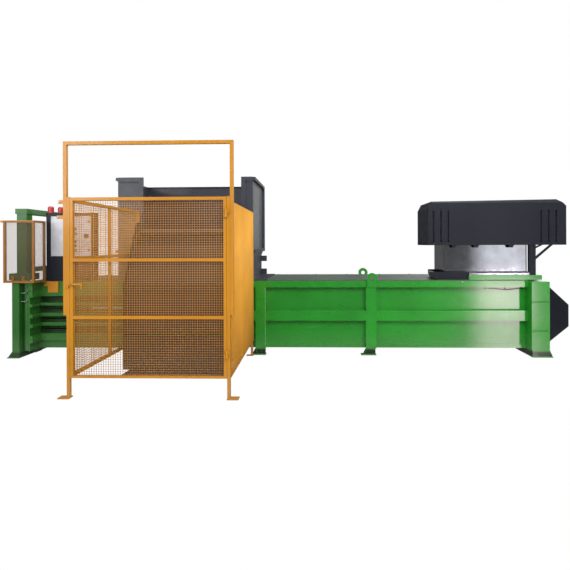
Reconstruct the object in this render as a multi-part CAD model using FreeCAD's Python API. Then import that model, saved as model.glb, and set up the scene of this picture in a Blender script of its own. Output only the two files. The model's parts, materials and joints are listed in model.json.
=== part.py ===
"""Horizontal channel baler with a tipping bin lifter, a safety cage and a hooded power unit.

Machine frame while modelling: X runs along the channel from the outlet, Y goes from the operator's
side to the back, Z is up from the floor, all in millimetres. On export the model is moved so that
its origin is the centre of its footprint on the floor.
"""
import FreeCAD, Part
import math
import os

V = FreeCAD.Vector

# ---- channel -------------------------------------------------------------------------------
CHANNEL_WIDTH = 1120.0        # outside of the front wall to outside of the rear wall
CHANNEL_BOTTOM = 90.0         # underside of the floor plate
CHANNEL_TOP = 1054.0          # top of the flanges
PLATE = 12.0                  # wall, floor and roof plate
FLOOR_TOP = 180.0             # what the bale slides on
ROOF_LOW = 930.0              # underside of the channel's roof
CROSS_RIB = 20.0              # ribs under the floor and over the roof
CROSS_RIB_PITCH = 400.0
RAIL_REACH = 90.0             # how far flanges and rails stand proud of the wall
FLANGE_HEIGHT = 90.0
MID_RAIL_LOW = 489.0
MID_RAIL_HIGH = 634.0
CHAMBER_START = 205.0         # outlet end of the bale chamber
CHAMBER_END = 1478.0          # end of the ribbed wall, start of the plain wall
BODY_END = 7215.0             # end of the plain wall, start of the right end frame
POST_STARTS = (3376.0, 4946.0)
POST_WIDTH = 144.0
POST_PROUD = 5.0              # posts stand this much in front of the rails
FOOT_HEIGHT = 95.0
FOOT_PLATE = 12.0
FOOT_OVERHANG = 70.0

# ---- ribbed bale chamber -------------------------------------------------------------------
RIB_LEVELS = ((199.0, 300.0), (414.0, 461.0), (550.0, 599.0), (704.0, 743.0), (841.0, 1051.0))
RIB_STEP_Z = 949.0            # the top rail is stepped here
RIB_STEP = 8.0
TIE_SLOT = 18.0               # height of the wire slots through the wall
END_PLATE = 20.0
END_PLATE_REACH = 290.0       # end plate's depth outside the wall
RETURN_BAR = 38.0

# ---- outlet frame, portal and lift door ------------------------------------------------------
END_POST_WIDTH = 100.0
END_POST_FRONT = 330.0        # outside the wall
END_POST_DEPTH = 200.0
END_POST_TOP = 1090.0
TUBE_WALL = 10.0
SILL_DEPTH = 150.0
BLOCK_HEIGHT = 90.0
BLOCK_LEFT = 41.0
BLOCK_LENGTH = 306.0
PORTAL_POST_X = 72.0
PORTAL_POST_WIDTH = 138.0
PORTAL_POST_DEPTH = 130.0
PORTAL_BEAM_LOW = 2013.0
PORTAL_BEAM_HEIGHT = 72.0
DOOR_X = 112.0
DOOR_THICKNESS = 90.0
DOOR_SIDE_GAP = 4.0
CROSSBAR_LOW = 1195.0
CROSSBAR_HEIGHT = 68.0
CROSSBAR_WIDTH = 70.0
CYLINDER_X = 155.0
CYLINDER_OUT = 230.0          # cylinder axis, outside the wall
BARREL_R = 38.0
BARREL_BORE_R = 30.0
DOOR_ROD_R = 20.0
ROD_GAP = 0.4
PIPE_R = 9.0
PIPE_BEND = 22.0
PIPE_RISE = 50.0
PIPE_LEVELS = (904.0, 786.0)

# ---- press ram and main cylinder --------------------------------------------------------------
RAM_FACE = 3290.0
RAM_LENGTH = 1850.0
RAM_SIDE_GAP = 2.0
RAM_FLOOR_GAP = 0.5
RAM_ROOF_GAP = 2.0
RAM_WALL = 20.0
RAM_FACE_PLATE = 50.0
KNIFE = 40.0
MAIN_AXIS_Z = 545.0
MAIN_BARREL_R = 130.0
MAIN_BORE_R = 112.0
MAIN_ROD_R = 75.0
MAIN_BARREL_START = 5500.0
MAIN_BARREL_END = 7900.0
MAIN_END_WALL = 45.0

# ---- right end frame and rear cover ------------------------------------------------------------
END_FRAME_LENGTH = 245.0
END_FRAME_REACH = 200.0
END_FRAME_TOP = 1048.0
END_FRAME_FOOT_OUT = 47.0
COVER_LENGTH = 580.0
COVER_TIP_WIDTH = 300.0
COVER_TIP_LOW = 325.0
COVER_TIP_HIGH = 650.0
COVER_SHEET = 5.0

# ---- hopper ------------------------------------------------------------------------------------
HOPPER_LEFT = 1357.0
HOPPER_RIGHT = 3330.0
HOPPER_TOP = 2555.0
HOPPER_SHEET = 8.0
HOPPER_BACK_HIGH = 1200.0     # rear wall above the step
HOPPER_BACK_LOW = 1005.0      # rear wall below the step
HOPPER_STEP_LOW = 1400.0
HOPPER_STEP_HIGH = 1460.0
MOUTH_LEFT = 1733.0           # front opening between the wings
MOUTH_RIGHT = 3163.0
WING_FRAME = 62.0             # folded border round each wing
WING_FOLD = 22.0
RIM_WIDTH = 34.0
FEED_LEFT = 1470.0            # feed opening in the channel roof
FEED_RIGHT = 3250.0
BASE_FLANGE = 20.0
BASE_FLANGE_LEFT = 1147.0
BASE_FLANGE_RIGHT = 3540.0
STUB = 88.0
STUB_LEVELS = (1085.0, 1299.0)


# ---- bin lifter ----------------------------------------------------------------------------------
LIFTER_LEFT = 1800.0          # outside of the left cheek
LIFTER_RIGHT = 3110.0         # outside of the right cheek
CHEEK = 20.0
LIFTER_FRONT = 880.0          # in front of the wall
LIFTER_SILL = 1150.0          # front of its floor plate
SILL_LEFT = 90.0              # the floor plate's front part starts this far inside the left cheek
SILL_RIGHT = 40.0             # and ends this far outside the right one
LIFTER_KNEE = 1070.0
LIFTER_TOP = 1880.0
LIFTER_TOP_FRONT = 450.0
PIVOT_OUT = 440.0
PIVOT_Z = 1740.0
SHAFT_R = 45.0
SHAFT_CLEARANCE = 0.05
ARM = 30.0
ARM_GAP = 15.0
ARM_BAND = 90.0
CRADLE_LOW = 450.0
CRADLE_SHEET = 10.0
CRADLE_LIP = 60.0
SLOPE_TOP = 1570.0             # upper end of the cradle's sloping plate
SLOPE_BACK = 150.0
TEETH = 9
TEETH_REACH = 20.0
TOOTH = 40.0
APRON_OUT = 400.0              # front edge of the feed apron
APRON_TOP = 1520.0
APRON_SHEET = 8.0

# ---- safety cage -----------------------------------------------------------------------------------
CAGE_LEFT = 1674.0
CAGE_RIGHT = 3370.0
CAGE_FRONT = 1957.0           # front of the posts, outside the wall
CAGE_TUBE = 33.0
CAGE_TOP = 2072.0
GATE_LOW = 210.0
GATE_GAP = 2.0
GATE_SILL = 24.0              # height of the gate's bottom rail
GATE_RAILS = (817.0, 1409.0)  # underside of the two middle rails
PANEL_LOW = 205.0
PANEL_TOPS = (2062.0, 2012.0)   # left and right side panel
PANEL_RAIL = 1420.0
MESH_SHEET = 4.0
MESH_BAR = 16.0
MESH_LAP = 8.0                # how far the mesh sheet laps behind its frame
GOAL_TUBE = 36.0
GOAL_SETBACK = 5.0            # its legs stand this far behind the posts' front
GOAL_TOP = 2652.0
GOAL_LOW = 857.0
CAGE_FOOT = 118.0
CAGE_FOOT_PLATE = 10.0
HINGE_R = 10.0
HINGE_CLEARANCE = 0.05
HINGE_HALF = 45.0              # height of each half of a gate hinge
HINGE_LEVELS = (420.0, 1860.0)
LATCH_Z = 1172.0
KEEPER_REACH = 16.0

# ---- basket guard ------------------------------------------------------------------------------------
GUARD_LEFT = -97.0
GUARD_RIGHT = 338.0
GUARD_FRONT = 370.0
GUARD_LOW = 1054.0
GUARD_TOP = 1922.0
GUARD_TUBE = 30.0
GUARD_OVERHANG = 40.0
GUARD_PLATE = 187.0            # fixing plate's reach to the right of the guard
GUARD_PLATE_STEP = 69.0
GUARD_PLATE_LOW = 893.0

# ---- control cabinet -----------------------------------------------------------------------------------
CABINET_LEFT = 345.0
CABINET_RIGHT = 1010.0
CABINET_LOW = 1064.0
CABINET_TOP = 2042.0
CABINET_BACK = 119.0
CABINET_DOOR = 20.0
CABINET_SHEET = 3.0
PANEL_X = (416.0, 1000.0)
PANEL_Z = (1417.0, 1990.0)
PANEL_SHEET = 5.0
PANEL_LAP = 20.0
CABINET_HINGES = (1180.0, 1880.0)
CABINET_HINGE_R = 5.0
CABINET_HINGE_HALF = 25.0
CABINET_PIN_R = 3.0
BUTTON_X = 767.0
BUTTON_LEVELS = (1808.0, 1743.0, 1627.0, 1562.0, 1505.0)
BUTTON_R = 17.0
BUTTON_LENGTH = 16.0
BUTTON_STEM_R = 11.0
BUTTON_TRAVEL = 6.0
SWITCH_X = 935.0
SWITCH_Z = 1706.0
LAMP_R = 41.0
LAMP_HEIGHT = 96.0
LAMP_CROWN = 16.0
LAMP_PLACES = ((388.0, -45.0), (480.0, 55.0))

# ---- power unit --------------------------------------------------------------------------------------------
COVER_PLATE = 10.0            # loose cover plates on the channel roof
COVER_PLATE_LAP = 60.0
BASE_X = (6407.0, 7427.0)
BASE_FRONT = -50.0
BASE_TOP = 1130.0
BASE_BEAM = 120.0              # depth of the base's front beam
BASE_SIDE = 60.0
UNIT_BACK = 700.0
TRAY_LEFT = 5859.0
TRAY_FRONT = -10.0
TRAY_TOP = 1175.0
TRAY_PLATE = 16.0              # plate under the tank
SKIRT = (6425.0, 0.0)          # left end and front of the frame between base and plate
TRAY_CHAMFER = 120.0
SHEET = 6.0
TANK_X = (6079.0, 7269.0)
TANK_Y = (60.0, 603.0)
TANK_TOP = 1600.0
TANK_CORNER = 18.0
HOOD_X = (5845.0, 7783.0)
HOOD_Y = (-20.0, 693.0)
HOOD_LOW = 1556.0
HOOD_TOP = 2210.0
HOOD_SLOPE = 28.0              # the roof's left end is this much lower
HOOD_SHEET = 5.0
HOOD_CHAMFER = 100.0
HOOD_RIM = 45.0
HOOD_STOPS = (6212.0, 6524.0, 7017.0)
STOP_WIDTH = 76.0
STOP_HEIGHT = 36.0
VENT_COLUMNS = (5905.0, 6010.0, 6115.0, 7420.0, 7525.0, 7630.0)
VENT_WIDTH = 26.0
VENT_LOW = 1600.0
VENT_HIGH = 2070.0
MOTOR_R = 150.0
MOTOR_X = (6330.0, 6830.0)
PUMP_R = 80.0
PUMP_END = 7080.0
BRACKET_X = 7275.0
BRACKET_WIDTH = 90.0
STRUT = 26.0
STRUT_LINES = ((1290.0, 7590.0), (1472.0, 7450.0))   # foot height and top end of each strut


# ---- small helpers ---------------------------------------------------------------------------------------------
def box(x0, x1, y0, y1, z0, z1):
    """A block between two corners."""
    return Part.makeBox(x1 - x0, y1 - y0, z1 - z0, V(x0, y0, z0))


def rod_z(x, y, z0, z1, radius):
    return Part.makeCylinder(radius, z1 - z0, V(x, y, z0), V(0, 0, 1))


def rod_y(x, z, y0, y1, radius):
    return Part.makeCylinder(radius, y1 - y0, V(x, y0, z), V(0, 1, 0))


def rod_x(y, z, x0, x1, radius):
    return Part.makeCylinder(radius, x1 - x0, V(x0, y, z), V(1, 0, 0))


def join(shapes):
    """Fuse touching shapes into one and drop the seams between their faces."""
    whole = shapes[0]
    if len(shapes) > 1:
        whole = whole.multiFuse(shapes[1:])
    return whole.removeSplitter()


def slab_x(points, x0, x1):
    """A plate whose outline is given as (y, z) points, from x0 to x1."""
    corners = [V(x0, y, z) for y, z in points]
    face = Part.Face(Part.makePolygon(corners + corners[:1]))
    return face.extrude(V(x1 - x0, 0, 0))


def slab_y(points, y0, y1):
    """A plate whose outline is given as (x, z) points, from y0 to y1."""
    corners = [V(x, y0, z) for x, z in points]
    face = Part.Face(Part.makePolygon(corners + corners[:1]))
    return face.extrude(V(0, y1 - y0, 0))


def rear_of(shape):
    """The same piece on the machine's far side."""
    return shape.mirror(V(0, CHANNEL_WIDTH / 2, 0), V(0, 1, 0))


def both_sides(shape):
    return Part.makeCompound([shape, rear_of(shape)])


def grid_sheet(u0, u1, v0, v1, columns, rows, bar):
    """Cell rectangles (u0, u1, v0, v1) of a mesh field with a border as wide as its bars."""
    pitch_u = (u1 - u0 - bar) / columns
    pitch_v = (v1 - v0 - bar) / rows
    cells = []
    for i in range(columns):
        for j in range(rows):
            left = u0 + bar + i * pitch_u
            low = v0 + bar + j * pitch_v
            cells.append((left, left + pitch_u - bar, low, low + pitch_v - bar))
    return cells


def mesh_xz(x0, x1, z0, z1, y0, fields, columns, rows):
    """A holed sheet across X and Z; fields are (x0, x1, z0, z1) openings of the frame it covers."""
    sheet = box(x0, x1, y0, y0 + MESH_SHEET, z0, z1)
    holes = []
    for fx0, fx1, fz0, fz1 in fields:
        for a, b, c, d in grid_sheet(fx0, fx1, fz0, fz1, columns, rows, MESH_BAR):
            holes.append(box(a, b, y0 - 1, y0 + MESH_SHEET + 1, c, d))
    return sheet.cut(Part.makeCompound(holes))


def mesh_yz(y0, y1, z0, z1, x0, fields, columns, rows):
    """A holed sheet across Y and Z."""
    sheet = box(x0, x0 + MESH_SHEET, y0, y1, z0, z1)
    holes = []
    for fy0, fy1, fz0, fz1 in fields:
        for a, b, c, d in grid_sheet(fy0, fy1, fz0, fz1, columns, rows, MESH_BAR):
            holes.append(box(x0 - 1, x0 + MESH_SHEET + 1, a, b, c, d))
    return sheet.cut(Part.makeCompound(holes))


# ---- outlet frame, portal and door ---------------------------------------------------------------------------------
def end_post():
    """Box post of the outlet frame with its foot plate and gusset."""
    front = -END_POST_FRONT
    back = front + END_POST_DEPTH
    post = box(0, END_POST_WIDTH, front, back, FOOT_PLATE, END_POST_TOP)
    hollow = box(TUBE_WALL, END_POST_WIDTH - TUBE_WALL, front + TUBE_WALL, back - TUBE_WALL,
                 FOOT_PLATE + TUBE_WALL, END_POST_TOP - TUBE_WALL)
    foot = box(-FOOT_OVERHANG, END_POST_WIDTH, front - 10, back, 0, FOOT_PLATE)
    gusset = slab_y([(0, FOOT_PLATE), (-FOOT_OVERHANG, FOOT_PLATE), (0, FOOT_PLATE + FOOT_HEIGHT)],
                    front + 20, front + 32)
    return join([post.cut(hollow), foot, gusset])


def end_frame():
    reach = END_POST_FRONT - END_POST_DEPTH
    beam = box(0, END_POST_WIDTH, -reach, CHANNEL_WIDTH + reach, 0, CHANNEL_BOTTOM)
    sill = box(END_POST_WIDTH, CHAMBER_START + END_PLATE, -SILL_DEPTH, 0, CHANNEL_BOTTOM - 50, CHANNEL_BOTTOM)
    tie = box(END_POST_WIDTH - 30, END_POST_WIDTH, -SILL_DEPTH, 0, CHANNEL_BOTTOM - 50, CHANNEL_BOTTOM)
    return join([end_post(), rear_of(end_post()), beam, sill, tie, rear_of(sill), rear_of(tie)])


def door_portal():
    """Two open channel posts on blocks, tied by a beam across the top."""
    low = END_POST_TOP
    top = low + BLOCK_HEIGHT
    front = -END_POST_FRONT
    block = box(-BLOCK_LEFT, BLOCK_LENGTH - BLOCK_LEFT, front, front + END_POST_DEPTH, low, top)
    bore = rod_z(CYLINDER_X, -CYLINDER_OUT, low - 1, top + 1, DOOR_ROD_R + ROD_GAP)
    x1 = PORTAL_POST_X + PORTAL_POST_WIDTH
    post = box(PORTAL_POST_X, x1, front, front + PORTAL_POST_DEPTH, top, PORTAL_BEAM_LOW)
    guide = box(PORTAL_POST_X + TUBE_WALL, x1 - TUBE_WALL, front + TUBE_WALL, front + PORTAL_POST_DEPTH + 1,
                top, PORTAL_BEAM_LOW)
    side = join([block.cut(bore), post.cut(guide)])
    beam = box(PORTAL_POST_X - 14, x1 + 14, front - 14, CHANNEL_WIDTH - front + 14,
               PORTAL_BEAM_LOW, PORTAL_BEAM_LOW + PORTAL_BEAM_HEIGHT)
    return join([side, rear_of(side), beam])


def door_cylinder():
    """One lift cylinder's barrel, flanged under the portal block."""
    outer = rod_z(CYLINDER_X, -CYLINDER_OUT, CHANNEL_BOTTOM, END_POST_TOP, BARREL_R)
    bore = rod_z(CYLINDER_X, -CYLINDER_OUT, CHANNEL_BOTTOM + 20, END_POST_TOP - 25, BARREL_BORE_R)
    gland = rod_z(CYLINDER_X, -CYLINDER_OUT, END_POST_TOP - 26, END_POST_TOP + 1, DOOR_ROD_R + ROD_GAP)
    return outer.cut(bore).cut(gland)


def cylinder_pipes():
    """Two feed pipes that come out of the end post, pass the cylinder's ports and turn up in a mitred elbow."""
    pipes = []
    y = -CYLINDER_OUT - BARREL_R - 22
    x0 = END_POST_WIDTH
    x1 = CHAMBER_START - PIPE_R - 3
    for z in PIPE_LEVELS:
        start = V(x0, y, z)
        path = Part.makePolygon([start, V(x1 - PIPE_BEND, y, z), V(x1, y, z + PIPE_BEND), V(x1, y, z + PIPE_RISE)])
        ring = Part.Wire(Part.makeCircle(PIPE_R, start, V(1, 0, 0)))
        pipe = path.makePipeShell([ring], True, False, 1)
        port = rod_y(CYLINDER_X, z, y, -CYLINDER_OUT, PIPE_R + 3)
        whole = join([pipe, port])
        pipes.append(whole.cut(rod_z(CYLINDER_X, -CYLINDER_OUT, z - 99, z + 99, BARREL_R + ROD_GAP)))
    return Part.makeCompound(pipes)


def bale_door():
    """Ribbed slab that closes the outlet, hung from a crossbar that runs in the portal's posts."""
    x1 = DOOR_X + DOOR_THICKNESS
    low = FLOOR_TOP + 3
    top = CHANNEL_TOP - 9
    skin = box(x1 - 20, x1, DOOR_SIDE_GAP, CHANNEL_WIDTH - DOOR_SIDE_GAP, low, top)
    pieces = [skin]
    ribs = 5
    pitch = (top - low - 40) / (ribs - 1)
    for i in range(ribs):
        z = low + i * pitch
        pieces.append(box(DOOR_X, x1 - 20, DOOR_SIDE_GAP, CHANNEL_WIDTH - DOOR_SIDE_GAP, z, z + 40))
    half = CROSSBAR_WIDTH / 2
    for y in (200.0, CHANNEL_WIDTH - 260.0):
        pieces.append(box(CYLINDER_X - 15, CYLINDER_X + 25, y, y + 60, top - 40, CROSSBAR_LOW))
    reach = END_POST_FRONT - 65
    pieces.append(box(CYLINDER_X - half, CYLINDER_X + half, -reach, CHANNEL_WIDTH + reach,
                      CROSSBAR_LOW, CROSSBAR_LOW + CROSSBAR_HEIGHT))
    return join(pieces)


def door_rods():
    rod = rod_z(CYLINDER_X, -CYLINDER_OUT, CHANNEL_BOTTOM + 120, CROSSBAR_LOW, DOOR_ROD_R)
    piston = rod_z(CYLINDER_X, -CYLINDER_OUT, CHANNEL_BOTTOM + 90, CHANNEL_BOTTOM + 120, BARREL_BORE_R - ROD_GAP)
    return both_sides(join([rod, piston]))


# ---- channel ---------------------------------------------------------------------------------------------------------
def chamber_wall():
    """Ribbed wall of the bale chamber with its wire slots, end plate and returns."""
    inner = box(CHAMBER_START, CHAMBER_END, 0, PLATE, CHANNEL_BOTTOM, CHANNEL_TOP - PLATE)
    pieces = [inner]
    slots = []
    for low, high in RIB_LEVELS:
        pieces.append(box(CHAMBER_START, CHAMBER_END, -RAIL_REACH, 0, low, high))
        pieces.append(box(CHAMBER_START + END_PLATE, CHAMBER_START + END_PLATE + RETURN_BAR,
                          -END_PLATE_REACH, -RAIL_REACH, low, high))
    for below, above in zip(RIB_LEVELS[:-2], RIB_LEVELS[1:-1]):
        middle = (below[1] + above[0]) / 2
        slots.append(box(CHAMBER_START + 60, CHAMBER_END - 60, -1, PLATE + 1,
                         middle - TIE_SLOT / 2, middle + TIE_SLOT / 2))
    pieces.append(box(CHAMBER_START, CHAMBER_START + END_PLATE, -END_PLATE_REACH, 0, CHANNEL_BOTTOM, CHANNEL_TOP - 3))
    pieces.append(box(CHAMBER_START, CHAMBER_END, -RAIL_REACH + 30, 0, CHANNEL_BOTTOM, RIB_LEVELS[0][0]))
    wall = join(pieces).cut(Part.makeCompound(slots))
    top_low, top_high = RIB_LEVELS[-1]
    step = box(CHAMBER_START + END_PLATE + RETURN_BAR, CHAMBER_END + 1, -RAIL_REACH - 1, -RAIL_REACH + RIB_STEP,
               RIB_STEP_Z, top_high + 1)
    return wall.cut(step)


def cross_ribs(x0, x1, z0, z1):
    """Ribs across the channel, evenly spread between two ends."""
    count = max(2, int(round((x1 - x0) / CROSS_RIB_PITCH)) + 1)
    pitch = (x1 - x0 - CROSS_RIB) / (count - 1)
    return [box(x0 + i * pitch, x0 + i * pitch + CROSS_RIB, PLATE, CHANNEL_WIDTH - PLATE, z0, z1)
            for i in range(count)]


def channel_floor():
    """Floor plate carried on cross ribs."""
    plate = box(CHAMBER_START, BODY_END, PLATE, CHANNEL_WIDTH - PLATE, FLOOR_TOP - PLATE, FLOOR_TOP)
    return join([plate] + cross_ribs(CHAMBER_START, BODY_END, CHANNEL_BOTTOM, FLOOR_TOP - PLATE))


def press_roof(x0, x1):
    """Lower and upper roof plates with cross ribs between them."""
    lower = box(x0, x1, PLATE, CHANNEL_WIDTH - PLATE, ROOF_LOW, ROOF_LOW + PLATE)
    upper = box(x0, x1, 0, CHANNEL_WIDTH, CHANNEL_TOP - PLATE, CHANNEL_TOP)
    return [lower, upper] + cross_ribs(x0, x1, ROOF_LOW + PLATE, CHANNEL_TOP - PLATE)


def wall_post(x):
    """Box post below the flange, with foot plate and two gussets."""
    front = -RAIL_REACH - POST_PROUD
    top = CHANNEL_TOP - FLANGE_HEIGHT
    post = box(x, x + POST_WIDTH, front, 0, FOOT_HEIGHT, top)
    hollow = box(x + TUBE_WALL, x + POST_WIDTH - TUBE_WALL, front + TUBE_WALL, -1,
                 FOOT_HEIGHT + TUBE_WALL, top - TUBE_WALL)
    leg = box(x + 10, x + POST_WIDTH - 10, front + 22, 0, FOOT_PLATE, FOOT_HEIGHT)
    plate = box(x - FOOT_OVERHANG, x + POST_WIDTH, front, 0, 0, FOOT_PLATE)
    left = slab_y([(x + 10, FOOT_PLATE), (x - FOOT_OVERHANG + 20, FOOT_PLATE), (x + 10, FOOT_HEIGHT + 40)],
                  front + 10, front + 20)
    web = box(x + POST_WIDTH / 2 - 6, x + POST_WIDTH / 2 + 6, front, front + 22, FOOT_PLATE, FOOT_HEIGHT)
    return join([post.cut(hollow), leg, plate, left, web])


def front_posts():
    return Part.makeCompound([wall_post(x) for x in POST_STARTS])


def side_wall():
    """Plain channel wall with its top flange and middle rail; the rails stop at the posts."""
    wall = box(CHAMBER_END, BODY_END, 0, PLATE, CHANNEL_BOTTOM, CHANNEL_TOP - PLATE)
    low_strip = box(CHAMBER_END, BODY_END, -4, 0, CHANNEL_BOTTOM, CHANNEL_BOTTOM + 60)
    flange = box(CHAMBER_END, BODY_END + 30, -RAIL_REACH, 0, CHANNEL_TOP - FLANGE_HEIGHT, CHANNEL_TOP)
    under = box(CHAMBER_END + PLATE, BODY_END + 31, -RAIL_REACH + PLATE, -1,
                CHANNEL_TOP - FLANGE_HEIGHT - 1, CHANNEL_TOP - PLATE)
    rail = box(CHAMBER_END, BODY_END + 8, -RAIL_REACH, 0, MID_RAIL_LOW, MID_RAIL_HIGH)
    hollow = box(CHAMBER_END + PLATE, BODY_END, -RAIL_REACH + PLATE, -1, MID_RAIL_LOW + PLATE,
                 MID_RAIL_HIGH - PLATE)
    side = join([wall, low_strip, flange.cut(under), rail.cut(hollow)])
    clear = [box(x, x + POST_WIDTH, -RAIL_REACH - POST_PROUD, 0, 0, CHANNEL_TOP - FLANGE_HEIGHT)
             for x in POST_STARTS]
    frame = box(BODY_END, BODY_END + END_FRAME_LENGTH, -END_FRAME_REACH, 0, 0, END_FRAME_TOP)
    return side.cut(Part.makeCompound(clear + [frame]))


def chamber_roof():
    return join(press_roof(CHAMBER_START, FEED_LEFT))


def fixed_knife():
    """Bolted shear bar under the edge where the ram cuts off what still sticks up."""
    y0, y1 = PLATE, CHANNEL_WIDTH - PLATE
    bar = box(FEED_LEFT, FEED_LEFT + KNIFE, y0, y1, ROOF_LOW, ROOF_LOW + 70)
    bevel = slab_y([(FEED_LEFT + KNIFE + 1, ROOF_LOW + 15), (FEED_LEFT + KNIFE + 1, ROOF_LOW + 71),
                    (FEED_LEFT + KNIFE - 18, ROOF_LOW + 71)], y0 - 1, y1 + 1)
    return bar.cut(bevel)


def roof_covers():
    """Roof of the press end with grey cover plates laid edge to edge on both flanges."""
    covers = box(BASE_FLANGE_RIGHT, BODY_END, -COVER_PLATE_LAP, CHANNEL_WIDTH + COVER_PLATE_LAP,
                 CHANNEL_TOP, CHANNEL_TOP + COVER_PLATE)
    seams = []
    for x in (BASE_FLANGE_RIGHT + 230, POST_STARTS[1] - 60):
        seams.append(box(x, x + 6, -COVER_PLATE_LAP - 1, CHANNEL_WIDTH + COVER_PLATE_LAP + 1,
                         CHANNEL_TOP + COVER_PLATE - 4, CHANNEL_TOP + COVER_PLATE + 1))
    return join(press_roof(FEED_RIGHT, BODY_END) + [covers]).cut(Part.makeCompound(seams))


LUG_R = 78.0
LUG_HOLE_R = 31.0
LUG_SHEET = 20.0
LUG_Z = 1088.0


def lifting_lug():
    """Lifting eye welded on the flange above the second post."""
    x = POST_STARTS[1] + POST_WIDTH / 2 + 14
    y0 = -RAIL_REACH - LUG_SHEET
    ear = rod_y(x, LUG_Z, y0, -RAIL_REACH, LUG_R)
    tail = box(x - LUG_R + 6, x + LUG_R - 6, y0, -RAIL_REACH, CHANNEL_TOP - FLANGE_HEIGHT, LUG_Z)
    return join([ear, tail]).cut(rod_y(x, LUG_Z, y0 - 1, 1, LUG_HOLE_R))


def right_end_frame():
    """Heavy box frame that takes the main cylinder's thrust."""
    x0 = BODY_END
    x1 = x0 + END_FRAME_LENGTH
    front = -END_FRAME_REACH
    low = FOOT_HEIGHT
    post = box(x0, x1, front, 0, low, END_FRAME_TOP)
    hollow = box(x0 + 2 * TUBE_WALL, x1 - 2 * TUBE_WALL, front + TUBE_WALL, -TUBE_WALL, low + TUBE_WALL,
                 END_FRAME_TOP - TUBE_WALL)
    foot = box(x0 + 14, x1, front + 10, 0, FOOT_PLATE, low)
    plate = box(x0 + 14, x1 + END_FRAME_FOOT_OUT, front, 0, 0, FOOT_PLATE)
    gusset = slab_y([(x1, FOOT_PLATE), (x1 + END_FRAME_FOOT_OUT, FOOT_PLATE), (x1, FOOT_HEIGHT + 30)],
                    front + 20, front + 32)
    side = join([post.cut(hollow), foot, plate, gusset])
    beam = box(x0 + 14, x1 - 20, 0, CHANNEL_WIDTH, 0, low)
    back = box(x1 - 40, x1, 0, CHANNEL_WIDTH, low, END_FRAME_TOP)
    hole = rod_x(CHANNEL_WIDTH / 2, MAIN_AXIS_Z, x1 - 41, x1 + 1, MAIN_BARREL_R + ROD_GAP)
    return join([side, rear_of(side), beam, back.cut(hole)])


def frustum_x(x0, x1, base, tip):
    """Solid with flat sides from a (y0, y1, z0, z1) rectangle at x0 to another at x1."""
    rings = []
    for x, (y0, y1, z0, z1) in ((x0, base), (x1, tip)):
        rings.append([V(x, y0, z0), V(x, y1, z0), V(x, y1, z1), V(x, y0, z1)])
    loops = [rings[0], rings[1]]
    for i in range(4):
        j = (i + 1) % 4
        loops.append([rings[0][i], rings[0][j], rings[1][j], rings[1][i]])
    faces = [Part.Face(Part.makePolygon(loop + loop[:1])) for loop in loops]
    solid = Part.makeSolid(Part.makeShell(faces))
    if solid.Volume < 0:
        solid.reverse()
    return solid


def rear_cover():
    x0 = BODY_END + END_FRAME_LENGTH
    x1 = x0 + COVER_LENGTH
    half = COVER_TIP_WIDTH / 2
    middle = CHANNEL_WIDTH / 2
    t = COVER_SHEET
    outer = frustum_x(x0, x1, (0, CHANNEL_WIDTH, 105, END_FRAME_TOP - 3),
                      (middle - half, middle + half, COVER_TIP_LOW, COVER_TIP_HIGH))
    inner = frustum_x(x0 - t, x1 - t, (t, CHANNEL_WIDTH - t, 105 + t, END_FRAME_TOP - 3 - t),
                      (middle - half + t, middle + half - t, COVER_TIP_LOW + t, COVER_TIP_HIGH - t))
    return outer.cut(inner)


# ---- press -----------------------------------------------------------------------------------------------------------
def main_cylinder():
    y = CHANNEL_WIDTH / 2
    barrel = rod_x(y, MAIN_AXIS_Z, MAIN_BARREL_START, MAIN_BARREL_END, MAIN_BARREL_R)
    bore = rod_x(y, MAIN_AXIS_Z, MAIN_BARREL_START + MAIN_END_WALL, MAIN_BARREL_END - MAIN_END_WALL, MAIN_BORE_R)
    gland = rod_x(y, MAIN_AXIS_Z, MAIN_BARREL_START - 1, MAIN_BARREL_START + MAIN_END_WALL + 1,
                  MAIN_ROD_R + ROD_GAP)
    saddle = box(MAIN_BARREL_START + 100, MAIN_BARREL_START + 160, y - 100, y + 100,
                 FLOOR_TOP, MAIN_AXIS_Z - MAIN_BARREL_R + 25)
    return join([barrel, saddle]).cut(bore).cut(gland)


def press_ram():
    """Hollow ram: face plate, four sides and a web near its open back that takes the rod."""
    y0 = PLATE + RAM_SIDE_GAP
    y1 = CHANNEL_WIDTH - PLATE - RAM_SIDE_GAP
    z0 = FLOOR_TOP + RAM_FLOOR_GAP
    z1 = ROOF_LOW - RAM_ROOF_GAP
    x1 = RAM_FACE + RAM_LENGTH
    outer = box(RAM_FACE, x1, y0, y1, z0, z1)
    front = box(RAM_FACE + RAM_FACE_PLATE, x1 - 120, y0 + RAM_WALL, y1 - RAM_WALL, z0 + RAM_WALL, z1 - RAM_WALL)
    back = box(x1 - 80, x1 + 1, y0 + RAM_WALL, y1 - RAM_WALL, z0 + RAM_WALL, z1 - RAM_WALL)
    windows = [box(x1 - 121, x1 - 79, y0 + 60, y0 + 330, z0 + 80, z1 - 80),
               box(x1 - 121, x1 - 79, y1 - 330, y1 - 60, z0 + 80, z1 - 80)]
    notch = box(RAM_FACE - 1, RAM_FACE + KNIFE, y0 - 1, y1 + 1, z1 - KNIFE / 2, z1 + 1)
    blade = box(RAM_FACE - 6, RAM_FACE + KNIFE, y0 + 6, y1 - 6, z1 - KNIFE / 2, z1)
    ram = outer.cut(Part.makeCompound([front, back])).cut(Part.makeCompound(windows)).cut(notch)
    return join([ram, blade])


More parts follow.
